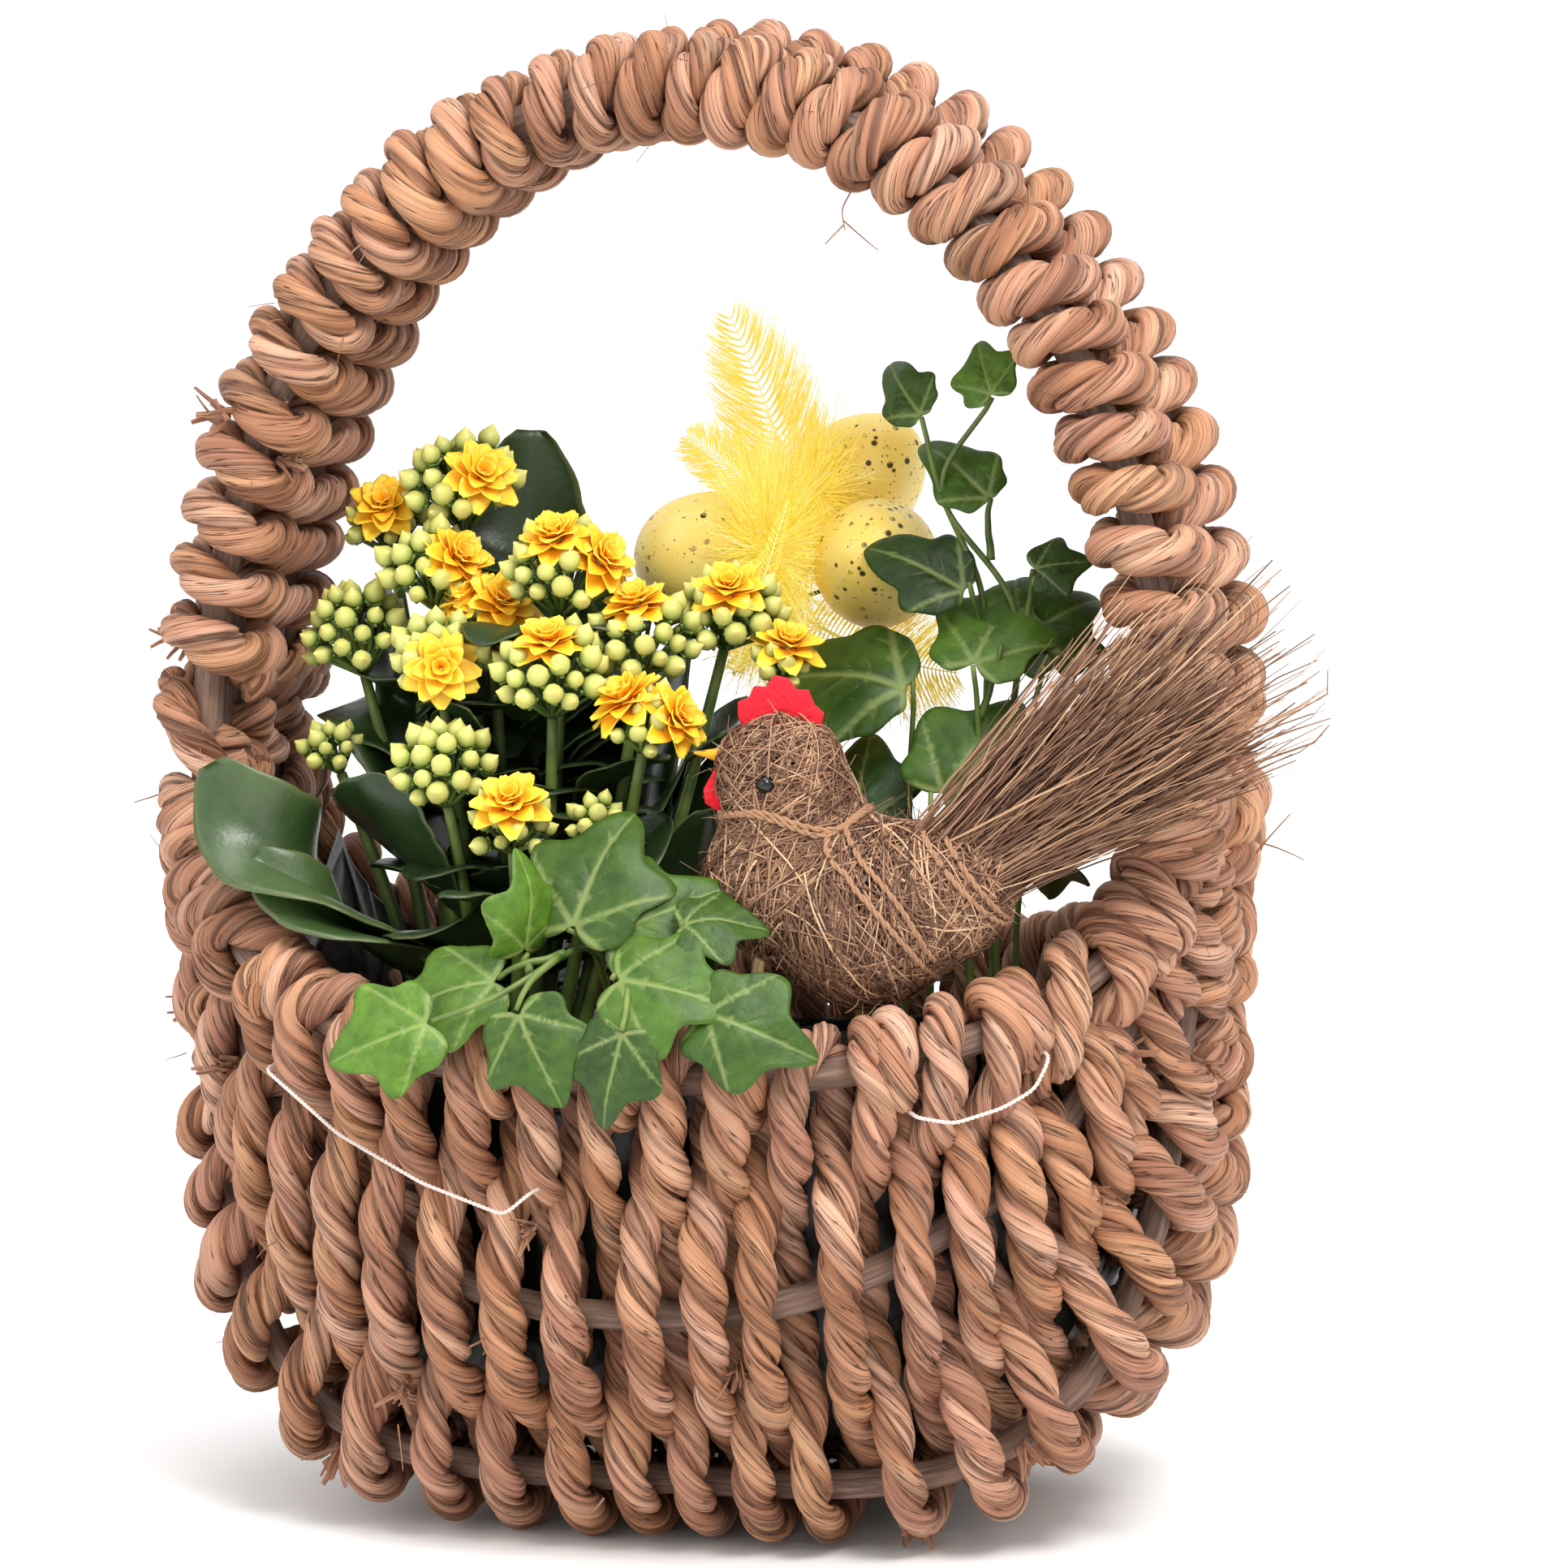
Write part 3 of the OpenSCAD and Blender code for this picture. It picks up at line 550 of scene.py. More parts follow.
def build_frays(material):
    """Where the leaf ran out: short torn strips, some curled, and a few hairs that hang from the handle."""
    parts = []
    rng = np.random.default_rng(77)
    frays = [(np.array(at, float), unit(np.array(out, float)), *size) for at, out, *size in FRAYS]
    for w, v, lift, wide, length in WALL_FRAYS:
        out = wall_frame(w, v)[0]
        frays.append((wall_point(w, v) + out * lift, out, wide, length))
    for at, out, wide, length in frays:
        for _ in range(11):
            d = unit(out + rng.normal(0, wide * 0.7, 3))
            t = np.linspace(0, 1, 9)[:, None]
            size = length * rng.uniform(0.5, 1.1)
            curl = unit(np.cross(d, rng.normal(0, 1, 3)))
            start = at - out * 3 + rng.normal(0, 0.9, 3)
            path = start + d * size * t + curl * size * 0.35 * t ** 2 * rng.uniform(-1, 1)
            parts.append(torn_strip(path, rng.uniform(0.4, 1.5), rng.uniform(0, 1), rng.uniform(0, 900)))
    for _ in range(70):
        w, v = rng.uniform(5, 355), rng.uniform(-3, 3)
        if w > 180:
            v = float(np.sign(v)) * 3
        out, along, past = wall_frame(w, v)
        lift = out if w < 180 else unit(out * rng.normal(0, 1) + past * np.sign(v))
        start = wall_point(w, v) + lift * 11
        t = np.linspace(0, 1, 10)[:, None]
        d = unit(lift * 0.6 + along * rng.normal(0, 0.8) + past * rng.normal(0, 0.6))
        path = start + d * rng.uniform(3, 9) * t + rng.normal(0, 2, 3) * t ** 2
        parts.append(torn_strip(path, rng.uniform(0.1, 0.3), rng.uniform(0, 1), rng.uniform(0, 900)))
    for points in (((38, -20, 300), (35, -22, 294), (36, -22, 289)),
                   ((35, -22, 292), (41, -22, 287), (44, -23, 285)),
                   ((36, -22, 291), (32, -22, 287), (31, -21, 286))):
        parts.append(torn_strip(resample(np.array(points, float), 1.0, 1), 0.22, 0.4, rng.uniform(0, 900)))
    make("frayed_ends", parts, material, "root", [])


def build_rods(material):
    """The two hoops and five ribs, with swellings where side shoots were cut."""
    names = {-3: "front_hoop", -2: "rib_front_upper", -1: "rib_front_lower", 0: "rib_keel",
             1: "rib_back_lower", 2: "rib_back_upper", 3: "back_hoop"}
    for rib, name in names.items():
        hoop = abs(rib) == 3
        reach = {0: 15, 1: 13, 2: 15}.get(abs(rib), 0)
        w = np.linspace(0, 360, 400) if hoop else np.linspace(-reach, 180 + reach, 240)
        p = resample(rod_point(w, rib), 2.2)
        n = len(p)
        r = (HOOP_R if hoop else RIB_R) * (1 + 0.05 * smooth_noise(n, 20, 70 + rib))
        for knot in np.random.default_rng(40 + rib).integers(6, n - 6, 9):
            r[knot - 1:knot + 2] *= (1.06, 1.12, 1.06)
        if not hoop:
            r[:4] *= np.linspace(0.4, 1, 4)
            r[-4:] *= np.linspace(1, 0.4, 4)
        angle = np.linspace(0, 2 * np.pi, 14, endpoint=False)
        leaf = stack(np.cos(angle), np.sin(angle), np.arange(n)[:, None] * 2.2 + rib * 500)
        make(name + "_rod", [round_tube(p, r, 14, {"leaf": leaf})], material, "root", [name])


# ---- plants ----
def turn_to(n, spin=0.0):
    """The matrix whose third column is n, spun about it."""
    n = unit(np.asarray(n, float))
    a = unit(np.cross(n, [0.31, 0.2, 0.93] if abs(n[2]) < 0.9 else [1.0, 0.1, 0.0]))
    b = np.cross(n, a)
    c, s = math.cos(spin), math.sin(spin)
    return np.stack([a * c + b * s, b * c - a * s, n], axis=1)


def slab(grid, normal, thick, attrs):
    """A thin closed solid over a grid of points, its under side thick below them."""
    rows, cols = grid.shape[:2]
    low = grid - normal * np.broadcast_to(thick, (rows, cols))[..., None]
    loops = np.concatenate([grid, low[:, ::-1]], axis=1)
    both = {key: over_grid(value, rows, cols) for key, value in attrs.items()}
    return tube(loops, {key: np.concatenate([value, value[:, ::-1]], axis=1) for key, value in both.items()})


def grid_normal(grid):
    return unit(np.cross(np.gradient(grid, axis=0), np.gradient(grid, axis=1)))


def curve(a, b, c, t):
    t = np.asarray(t)[..., None]
    return a * (1 - t) ** 2 + 2 * b * t * (1 - t) + c * t * t


def curved_tube(points, radius, sides, steps, seed=0, wobble=0.0):
    """A round tube eased through points, tapering if radius is a pair."""
    p = np.asarray(points, float)
    d = np.concatenate([[0], np.cumsum(np.linalg.norm(np.diff(p, axis=0), axis=1))])
    q = resample(p, max(d[-1] / (steps * (len(p) - 1)), 0.4), 3)
    q = np.concatenate([p[:1], q, p[-1:]])
    if wobble:
        q += wobble * np.stack([smooth_noise(len(q), 6, seed + k) for k in range(3)], axis=1)
    r = np.linspace(*radius, len(q)) if isinstance(radius, tuple) else radius
    return round_tube(q, r, sides)


HEADS = [((-77, 8, 218), 8.5), ((-58, 2, 227), 11.5), ((-62, -10, 209), 9.5), ((-28, -22, 211), 11.5),
         ((-80, -8, 194), 10.5), ((-55, -28, 191), 10), ((-26, -37, 190), 11), ((-9, -24, 197), 10.5),
         ((8, -12, 202), 9.5), ((-50, -42, 169), 9.5), ((-32, -50, 159), 7.5), ((-4, -40, 181), 8),
         ((-15, -44, 160), 4.5), ((-83, -16, 169), 5.5), ((-47, -13, 199), 7.5), ((20, -16, 192), 6)]
BLOOMS = [(1, (0.6, -0.7, 0.45)), (0, (0.05, -0.77, 0.63)), (2, (0.75, -0.4, 0.5)),
          (3, (-0.04, -0.48, 0.87)), (3, (0.85, -0.3, 0.43)), (14, (-0.63, -0.22, 0.74)),
          (14, (0.45, -0.54, 0.71)), (6, (0, -0.45, 0.9)), (7, (-0.12, -0.34, 0.93)),
          (8, (0.08, -0.62, 0.78)), (15, (0.37, -0.36, 0.86)), (5, (0.3, -0.95, 0.1)),
          (11, (-0.5, -0.39, 0.77)), (11, (0.88, -0.35, 0.3)), (10, (0.07, -0.6, 0.8))]
CLUMP = np.array([-44.0, -14.0, SOIL_Z])
THICK_LEAVES = [((-50, -22, 124), (-76, -50, 128), (-100, -53, 172), 36),
                ((-46, -22, 118), (-66, -56, 128), (-90, -55, 152), 26),
                ((-50, -10, 140), (-74, 2, 160), (-78, 6, 205), 40),
                ((-44, -6, 150), (-50, 18, 196), (-46, 16, 240), 36),
                ((-40, -20, 128), (-22, -38, 136), (-2, -30, 160), 34),
                ((-44, -24, 122), (-48, -48, 132), (-40, -58, 140), 34),
                ((-40, -8, 132), (-18, 10, 150), (6, 16, 180), 36),
                ((-48, -18, 128), (-66, -34, 150), (-70, -42, 168), 30),
                ((-44, 4, 118), (-50, 34, 126), (-62, 48, 146), 34),
                ((-38, 2, 116), (-22, 32, 124), (-8, 42, 140), 32)]


def bud_part(at, n, size, tone, spin):
    """A closed bud: a pointed barrel with the seams of its folded petals."""
    t = np.linspace(0, 1, 9)
    profile = np.array([0.12, 0.62, 0.92, 1.0, 0.98, 0.86, 0.62, 0.3, 0.05])
    a = np.linspace(0, 2 * np.pi, 12, endpoint=False)
    seam = 1 - 0.09 * np.maximum(np.cos(4 * a[None] + 5 * t[:, None]), 0) ** 6 * (t[:, None] > 0.2)
    r = profile[:, None] * size * 0.46 * seam
    p = stack(r * np.cos(a), r * np.sin(a), t[:, None] * size * 1.1)
    return tube(p @ turn_to(n, spin).T + at, {"height": t[:, None], "tone": tone})


def sepal_parts(at, n, size, spin):
    """Four small green leaves under a bud or a flower."""
    m = turn_to(n, spin)
    t = np.linspace(0, 1, 4)[:, None]
    u = np.linspace(-1, 1, 3)[None, :]
    wide = 0.24 * size * (1 - t ** 2) + 0.02
    flat = stack(u * wide, 0.1 + t * 0.5 * size, 0.6 * t * size * 0.5 - 0.1 * u * u * size)
    parts = []
    for k in range(4):
        c, s = math.cos(k * math.pi / 2), math.sin(k * math.pi / 2)
        grid = flat @ np.array([[c, -s, 0], [s, c, 0], [0, 0, 1]]).T @ m.T + at
        parts.append(slab(grid, grid_normal(grid), 0.25, {"height": 0.0, "tone": 0.1}))
    return parts


def petal_part(m, at, angle, length, width, tilt, curl, seed, depth):
    """One petal of a double flower. tilt is how far it stands up, curl how far its tip bends back."""
    rng = np.random.default_rng(seed)
    t = np.linspace(0, 1, 8)[:, None]
    u = np.linspace(-1, 1, 7)[None, :]
    shape = np.sin(np.pi * (0.12 + 0.80 * t ** 0.75)) ** 0.7 * (1 - 0.4 * t ** 6)
    half = width / 2 * shape
    up = tilt - curl * t
    r = np.cumsum(np.cos(up), axis=0) * length / 8 + 0.25
    z = np.cumsum(np.sin(up), axis=0) * length / 8
    cup = 0.22 * width * u * u * shape * (1 - 0.6 * t)
    wave = 0.05 * width * np.sin(3 * u + 6 * t + rng.uniform(0, 6))
    x = r - cup * np.sin(up)
    y = u * half
    c, s = math.cos(angle), math.sin(angle)
    grid = stack(x * c - y * s, x * s + y * c, z + cup * np.cos(up) + wave) @ m.T + at
    return slab(grid, grid_normal(grid), 0.22, {"reach": t, "edge": np.abs(u), "depth": depth})


def flower_parts(at, n, size, seed):
    """A double flower: whorls of petals, the inner ones shorter and standing up."""
    rng = np.random.default_rng(seed)
    parts = []
    spin = rng.uniform(0, 6)
    m = turn_to(n)
    whorls = [(6, 0.56, 0.12), (6, 0.50, 0.42), (5, 0.42, 0.72), (5, 0.33, 1.0), (4, 0.24, 1.25)]
    for ring, (count, length, tilt) in enumerate(whorls):
        foot = at + m @ np.array([0, 0, 0.5 * ring * size / 16])
        for k in range(count):
            angle = spin + 2 * math.pi * (k + 0.5 * (ring % 2)) / count + rng.uniform(-0.1, 0.1)
            parts.append(petal_part(m, foot, angle, length * size * rng.uniform(0.92, 1.06),
                                    (0.36 - 0.035 * ring) * size, tilt + rng.uniform(-0.1, 0.1), 0.35,
                                    seed + 17 * ring + k, ring / 4))
    return parts


GOLDEN = 2.39996          # the golden angle, which spreads things evenly round


def spread(n, count, reach, rng):
    """count directions spread evenly over a cap of the given half-angle round n."""
    m = turn_to(n, rng.uniform(0, 6))
    i = np.arange(count) + 0.5
    polar = np.arccos(1 - i / count * (1 - math.cos(reach)))
    turn = i * GOLDEN
    d = np.stack([np.sin(polar) * np.cos(turn), np.sin(polar) * np.sin(turn), np.cos(polar)], axis=1)
    return d @ m.T


# Dark leaves that close the view behind the stems: foot, middle, tip and width
INNER_LEAVES = [((-14, -4, 116), (-9, -3, 150), (0, 0, 180), 28),
                ((-20, 4, 130), (-15, 9, 165), (-8, 14, 198), 28),
                ((-10, -12, 112), (-4, -16, 136), (4, -20, 160), 26),
                ((-8, 8, 112), (-4, 14, 142), (1, 22, 170), 26),
                ((-30, 6, 150), (-30, 12, 182), (-26, 18, 212), 30),
                ((-46, 8, 150), (-52, 14, 186), (-56, 20, 218), 30),
                ((-60, 2, 140), (-70, 8, 168), (-76, 12, 196), 26)]


def kalanchoe_heads(rng):
    """The stems, buds and petals of the flower heads."""
    stems, buds, flowers = [], [], []
    for i, (at, r) in enumerate(HEADS):
        at = np.array(at, float)
        foot = head_foot(at)
        axis = unit(at - foot)
        fork = at - axis * r * 0.75
        stems.append(curved_tube([foot - [0, 0, 3], (foot + fork) / 2 + [2, 1, 0], fork], (1.9, 1.2), 10, 8))
        face = unit(axis + [0, -0.45, 0.2])
        blooms = [unit(np.array(n, float)) for k, n in BLOOMS if k == i]
        for d in spread(face, int(8 + r * r * 0.2), 1.75, rng):
            if any(np.dot(d, b) > 0.80 for b in blooms):
                continue
            size = rng.uniform(4.2, 5.9) * (0.8 if r < 9 else 1)
            p = at + d * (r * rng.uniform(0.72, 0.98))
            n = unit(d + [0, -0.1, 0.55])
            inner = fork + unit(p - fork) * np.linalg.norm(p - fork) * 0.35
            stems.append(curved_tube([inner * 0.3 + fork * 0.7, inner, p], (0.65, 0.5), 6, 5))
            buds.append(bud_part(p, n, size, rng.uniform(0, 1), rng.uniform(0, 6)))
            buds += sepal_parts(p - n * 0.3, n, size * 0.9, rng.uniform(0, 6))
        for b in blooms:
            size = rng.uniform(15.5, 18)
            p = at + b * (r * 0.86)
            stems.append(curved_tube([fork, (fork + p) / 2, p], (0.8, 0.8), 6, 5))
            flowers += flower_parts(p, unit(b + [0, -0.1, 0.2]), size, int(rng.integers(1e6)))
            buds += sepal_parts(p - b * 0.4, b, 7.5, 0.3)
            buds.append(bud_part(p - b * 1.6, b, 4.2, 0.2, 0.0))
    return stems, buds, flowers


def head_foot(at):
    """Where the stem of a flower head leaves the soil."""
    return CLUMP + 0.4 * (at - CLUMP) * [1, 1, 0]


def kalanchoe_branches(rng):
    """The thick lower branches in the middle of the clump."""
    branches = []
    for _ in range(9):
        a = rng.uniform(0, 6.28)
        out = np.array([math.cos(a), math.sin(a), 0])
        base = CLUMP + 7 * out - [0, 0, 2]
        line = [base, base + 3 * out + [0, 0, 22], base + 7 * out + [0, 0, 44]]
        branches.append(curved_tube(line, (2.2, 1.4), 10, 6))
    return branches


def kalanchoe_leaves(rng):
    """The leaves in view, the small ones among the heads, those round the clump, and the inner ones."""
    leaves = [thick_leaf(*points, wide, 60 + i, 0.5 if i < 2 else 1.0)
              for i, (*points, wide) in enumerate(THICK_LEAVES)]
    for i in range(12):
        at = np.array(HEADS[int(rng.integers(0, 12))][0], float)
        foot = head_foot(at)
        a = foot + (at - foot) * rng.uniform(0.35, 0.7)
        out = unit(np.array([math.cos(i * GOLDEN), math.sin(i * GOLDEN) - 0.4, 0.25]))
        leaves.append(thick_leaf(a, a + out * 12 + [0, 0, 5], a + out * rng.uniform(22, 30) + [0, 0, 4],
                                 rng.uniform(12, 18), 90 + i, 1.0))
    for i in range(46):
        height = rng.uniform(106, 172) if i % 3 else rng.uniform(160, 196)
        out = np.array([math.cos(i * GOLDEN), math.sin(i * GOLDEN) * 0.8, 0])
        a = CLUMP * [1, 1, 0] + np.array([8 if i % 2 else 2, 0, height]) + out * rng.uniform(2, 12)
        long = rng.uniform(24, 38) * (0.7 if height > 160 else 1.0)
        tip = a + out * long + [0, 0, rng.uniform(2, 16)]
        tip[1] = min(tip[1], 44)
        if tip[0] > -86 and tip[1] > -58:
            middle = (a + tip) / 2 + [0, 0, rng.uniform(2, 7)]
            leaves.append(thick_leaf(a, middle, tip, rng.uniform(18, 30), 400 + i, 1.0))
    inner = [thick_leaf(*points, wide, 500 + i, 1.0) for i, (*points, wide) in enumerate(INNER_LEAVES)]
    return leaves + inner


def build_kalanchoe(leaf, stem, bud, petal):
    rng = np.random.default_rng(3)
    stems, buds, flowers = kalanchoe_heads(rng)
    make("kalanchoe_buds", buds, bud, "root", ["kalanchoe_heads"])
    make("kalanchoe_petals", flowers, petal, "root", ["kalanchoe_flowers"])
    make("kalanchoe_branches", stems + kalanchoe_branches(rng), stem, "root", ["kalanchoe_stems"])
    make("kalanchoe_blades", kalanchoe_leaves(rng), leaf, "root", ["kalanchoe_leaves"])


def thick_leaf(a, b, c, width, seed, young):
    """A fleshy leaf from a by way of b to c, its edge scalloped, folded a little along its middle."""
    a, b, c = (np.array(p, float) for p in (a, b, c))
    rows, cols = 40, 17
    t = np.linspace(0, 1, rows)
    p = curve(a, b, c, t)
    f = unit(np.gradient(p, axis=0))
    side = unit(np.cross(f, unit(c - a + np.array([0, 0, 40.0]))))
    up = np.cross(side, f)
    shape = np.sin(np.pi * (0.05 + 0.93 * t ** 1.15)) ** 0.62
    teeth = 1 + 0.055 * np.abs(np.sin(t * math.pi * 8.5)) * (t > 0.15) * (t < 0.985)
    half = width / 2 * shape * teeth
    u = np.linspace(-1, 1, cols)[None, :]
    fold = 0.24 * np.abs(u) ** 1.3 - 0.1 * u ** 4
    wave = 0.05 * width * np.stack([smooth_noise(rows, 9, seed), smooth_noise(rows, 9, seed + 1)], axis=1)
    ripple = np.where(u < 0, wave[:, :1], wave[:, 1:]) * np.abs(u) ** 2
    grid = (p[:, None] + side[:, None] * (u * half[:, None])[..., None]
            + up[:, None] * ((fold * half[:, None]) + ripple)[..., None])
    thick = 1.5 * (1 - 0.75 * np.abs(u) ** 3) * (0.35 + 0.65 * shape[:, None])
    return slab(grid, grid_normal(grid), thick, {"edge": np.abs(u), "reach": t[:, None], "tone": young})


# An ivy leaf as seen from above, its stalk at the origin and its middle lobe along +Y: angle in degrees from
# +Y, and how far out from the middle of the blade the edge lies there
IVY_EDGE = [(0, 0.76), (8, 0.68), (20, 0.54), (33, 0.47), (45, 0.50), (57, 0.58), (65, 0.61), (74, 0.54),
            (88, 0.44), (102, 0.41), (114, 0.45), (124, 0.47), (140, 0.42), (158, 0.34), (172, 0.26),
            (180, 0.20)]
IVY_LONG = [(0, 0.80), (9, 0.68), (22, 0.52), (34, 0.42), (46, 0.36), (58, 0.38), (66, 0.40), (76, 0.40),
            (90, 0.36), (102, 0.33), (116, 0.32), (126, 0.32), (140, 0.30), (158, 0.27), (172, 0.24),
            (180, 0.22)]


def ivy_part(at, n, tip, length, seed, curl, tone, edge):
    """An ivy leaf from its stalk's end at, facing n, its middle lobe pointing towards tip."""
    rng = np.random.default_rng(seed)
    n = unit(np.asarray(n, float))
    y = unit(np.asarray(tip, float) - n * np.dot(tip, n))
    x = np.cross(y, n)
    rings, spokes = 12, 96
    a = np.linspace(-180, 180, spokes, endpoint=False)
    table = np.array(edge)
    reach = np.interp(np.abs(a), table[:, 0], table[:, 1])
    reach = np.convolve(np.concatenate([reach[-2:], reach, reach[:2]]), [0.1, 0.2, 0.4, 0.2, 0.1], "valid")
    reach *= 1 + 0.03 * np.sin(a / 7 + rng.uniform(0, 6)) + 0.04 * np.sign(a) * rng.uniform(-1, 1)
    r = np.linspace(0.02, 1, rings)[:, None] * reach[None, :]
    px, py = r * np.sin(np.radians(a)), r * np.cos(np.radians(a)) + 0.26
    hub = np.array([0.0, 0.04])
    near = np.full(px.shape, 1e9)
    for angle in (0, 52, -52, 112, -112):
        c, s = math.cos(math.radians(angle)), math.sin(math.radians(angle))
        dx, dy = px - hub[0], py - hub[1]
        along, off = dx * s + dy * c, np.abs(dx * c - dy * s)
        near = np.minimum(near, np.where(along > 0, off + 0.02 * along, 1e9))
        for k in range(1, 5):
            start = 0.16 * k
            for sign in (-1, 1):
                q = math.radians(angle + sign * 42)
                cx, cy = hub[0] + start * s, hub[1] + start * c
                ex, ey = px - cx, py - cy
                g, h = ex * math.sin(q) + ey * math.cos(q), np.abs(ex * math.cos(q) - ey * math.sin(q))
                near = np.minimum(near, np.where((g > 0) & (g < 0.24), h + 0.018 + 0.05 * g, 1e9))
    groove = np.exp(-(near / 0.035) ** 2)
    dome = -0.9 * curl * (px ** 2 + 0.8 * (py - 0.3) ** 2)
    crease = 0.10 * np.abs(px) * (1 - 0.4 * curl)
    ripple = 0.022 * np.sin(px * 9 + rng.uniform(0, 6)) * np.cos(py * 8 + rng.uniform(0, 6))
    pillow = 0.016 * (1 - groove)
    z = dome + crease + ripple + pillow
    grid = at + length * 0.98 * (px[..., None] * x + py[..., None] * y + z[..., None] * n)
    loops = np.concatenate([grid - n * 0.35, grid[::-1]])
    flat = stack(px, py, seed * 3.1)
    under = np.repeat([[1.0], [0.0]], rings, axis=0)
    return tube(loops, {"vein": np.concatenate([near, near[::-1]]), "under": under,
                        "leaf": np.concatenate([flat, flat[::-1]]), "tone": tone})


# Front ivy: stalk end, facing, tip direction, length, curl, tone (0 dark, 1 light), narrow
FRONT_IVY = [((-37, -98, 124), (0.1, -1, 0.45), (-1, 0, -0.5), 25, 0.4, 1.0, 0),
             ((-25, -87, 132), (-0.1, -0.75, 0.75), (-0.6, 0, -0.25), 27, 0.5, 0.75, 0),
             ((-20, -82, 137), (0.9, -0.5, -0.2), (0.1, -0.1, 1), 22, 0.8, 0.95, 0),
             ((-11, -80, 142), (-0.1, -0.9, 0.55), (0.2, 0.1, 0.9), 33, 0.6, 0.35, 0),
             ((-3, -80, 140), (0.1, -0.85, 0.5), (0.75, 0.1, 0.5), 30, 0.5, 0.45, 0),
             ((-18, -97, 127), (0, -1, 0.25), (0.45, 0, -0.9), 24, 0.5, 0.4, 0),
             ((2, -92, 134), (0, -0.8, 0.6), (1, 0, -0.2), 29, 0.5, 0.65, 0),
             ((6, -99, 124), (-0.1, -1, 0.2), (-0.2, 0, -1), 22, 0.5, 0.2, 0),
             ((14, -82, 145), (0.1, -0.6, 0.8), (0.9, 0, 0.3), 20, 0.6, 0.3, 0),
             ((22, -94, 128), (0.1, -0.9, 0.4), (1, 0, -0.35), 27, 0.5, 0.35, 0)]
BACK_IVY = [((46, 8, 246), (-0.3, -0.8, 0.4), (-0.8, 0, 0.9), 20, 0.6, 0.35, 1),
            ((62, 8, 251), (-0.2, -0.9, 0.5), (-0.4, 0, 0.9), 16, 0.4, 0.9, 0),
            ((62, 8, 228), (0.1, -0.8, 0.6), (-0.6, 0, 0.7), 24, 0.6, 0.5, 1),
            ((58, 3, 208), (0.1, -0.8, 0.5), (-0.9, 0, 0.5), 28, 0.6, 0.05, 1),
            ((72, 6, 213), (0.1, -0.8, 0.5), (0.9, 0, 0.3), 14, 0.5, 0.15, 0),
            ((46, -3, 187), (-0.2, -0.75, 0.65), (-0.95, 0, 0.35), 42, 0.7, 0.3, 1),
            ((60, -2, 192), (0, -0.75, 0.65), (0.2, 0, 0.9), 28, 0.5, 0.75, 0),
            ((68, 3, 197), (0.3, -0.7, 0.6), (0.6, 0, 0.6), 26, 0.5, 0.3, 0),
            ((76, 8, 192), (0.2, -0.8, 0.6), (0.4, 0, 0.9), 17, 0.5, 0.4, 0),
            ((54, -8, 164), (0.1, -0.85, 0.5), (0.4, 0, 0.7), 30, 0.5, 0.5, 0),
            ((34, -2, 154), (-0.1, -0.85, 0.5), (-0.1, 0, 1), 27, 0.6, 0.1, 0),
            ((30, 40, 149), (0.1, 0.5, 0.9), (0, 1, 0.2), 30, 0.5, 0.3, 0),
            ((-30, 50, 140), (0, 0.6, 0.8), (-0.1, 1, 0), 28, 0.5, 0.4, 0),
            ((62, 40, 150), (0.4, 0.5, 0.8), (0.4, 1, 0), 28, 0.5, 0.3, 0),
            ((40, -16, 142), (0, -0.8, 0.6), (0.5, -0.2, 0.4), 24, 0.5, 0.05, 0),
            ((6, 50, 134), (-0.1, 0.6, 0.8), (0, 1, 0.1), 26, 0.5, 0.2, 0)]
FRONT_VINES = [[(-8, -40, 98), (-9, -52, 124), (-10, -66, 137), (-12, -82, 137), (-24, -95, 129),
                (-37, -98, 124)],
               [(-4, -40, 98), (-4, -56, 128), (-6, -71, 138), (-11, -80, 142)],
               [(-4, -56, 128), (-4, -70, 138), (-3, -80, 140)],
               [(4, -42, 98), (4, -60, 124), (3, -78, 137), (2, -92, 134)],
               [(14, -40, 98), (15, -58, 112), (17, -76, 131), (22, -94, 128)],
               [(3, -78, 137), (6, -94, 132), (6, -99, 124)],
               [(17, -76, 131), (15, -80, 140), (14, -82, 145)],
               [(-12, -82, 137), (-20, -87, 135), (-25, -87, 132)],
               [(-18, -88, 134), (-20, -84, 136), (-20, -82, 137)],
               [(-12, -82, 137), (-16, -94, 133), (-18, -97, 127)]]
BACK_VINES = [[(56, 14, 98), (58, 12, 150), (61, 10, 190), (60, 9, 212), (50, 9, 226), (47, 9, 240),
               (46, 8, 246)],
              [(60, 14, 98), (64, 12, 160), (70, 8, 200), (62, 8, 214), (48, 9, 228), (52, 9, 240),
               (60, 9, 246), (62, 8, 251)],
              [(62, 8, 214), (61, 8, 222), (62, 8, 228)], [(61, 10, 190), (60, 6, 202), (58, 4, 210)],
              [(70, 8, 200), (71, 7, 208), (72, 6, 213)],
              [(42, 8, 98), (44, 4, 140), (46, 1, 176), (46, 0, 188)],
              [(50, 2, 98), (51, -4, 130), (52, -8, 164)],
              [(64, 10, 98), (63, 4, 150), (61, 0, 180), (60, -2, 192)],
              [(61, 0, 180), (65, 1, 190), (66, 0, 197)], [(64, 12, 160), (72, 6, 180), (76, 2, 192)],
              [(44, 4, 130), (38, 0, 142), (34, -2, 154)], [(30, 30, 98), (30, 38, 130), (30, 40, 149)],
              [(-30, 40, 98), (-30, 48, 118), (-30, 50, 140)], [(60, 36, 98), (62, 38, 124), (62, 40, 150)],
              [(40, -6, 98), (41, -12, 124), (40, -16, 142)], [(8, 36, 98), (7, 46, 118), (6, 50, 134)]]


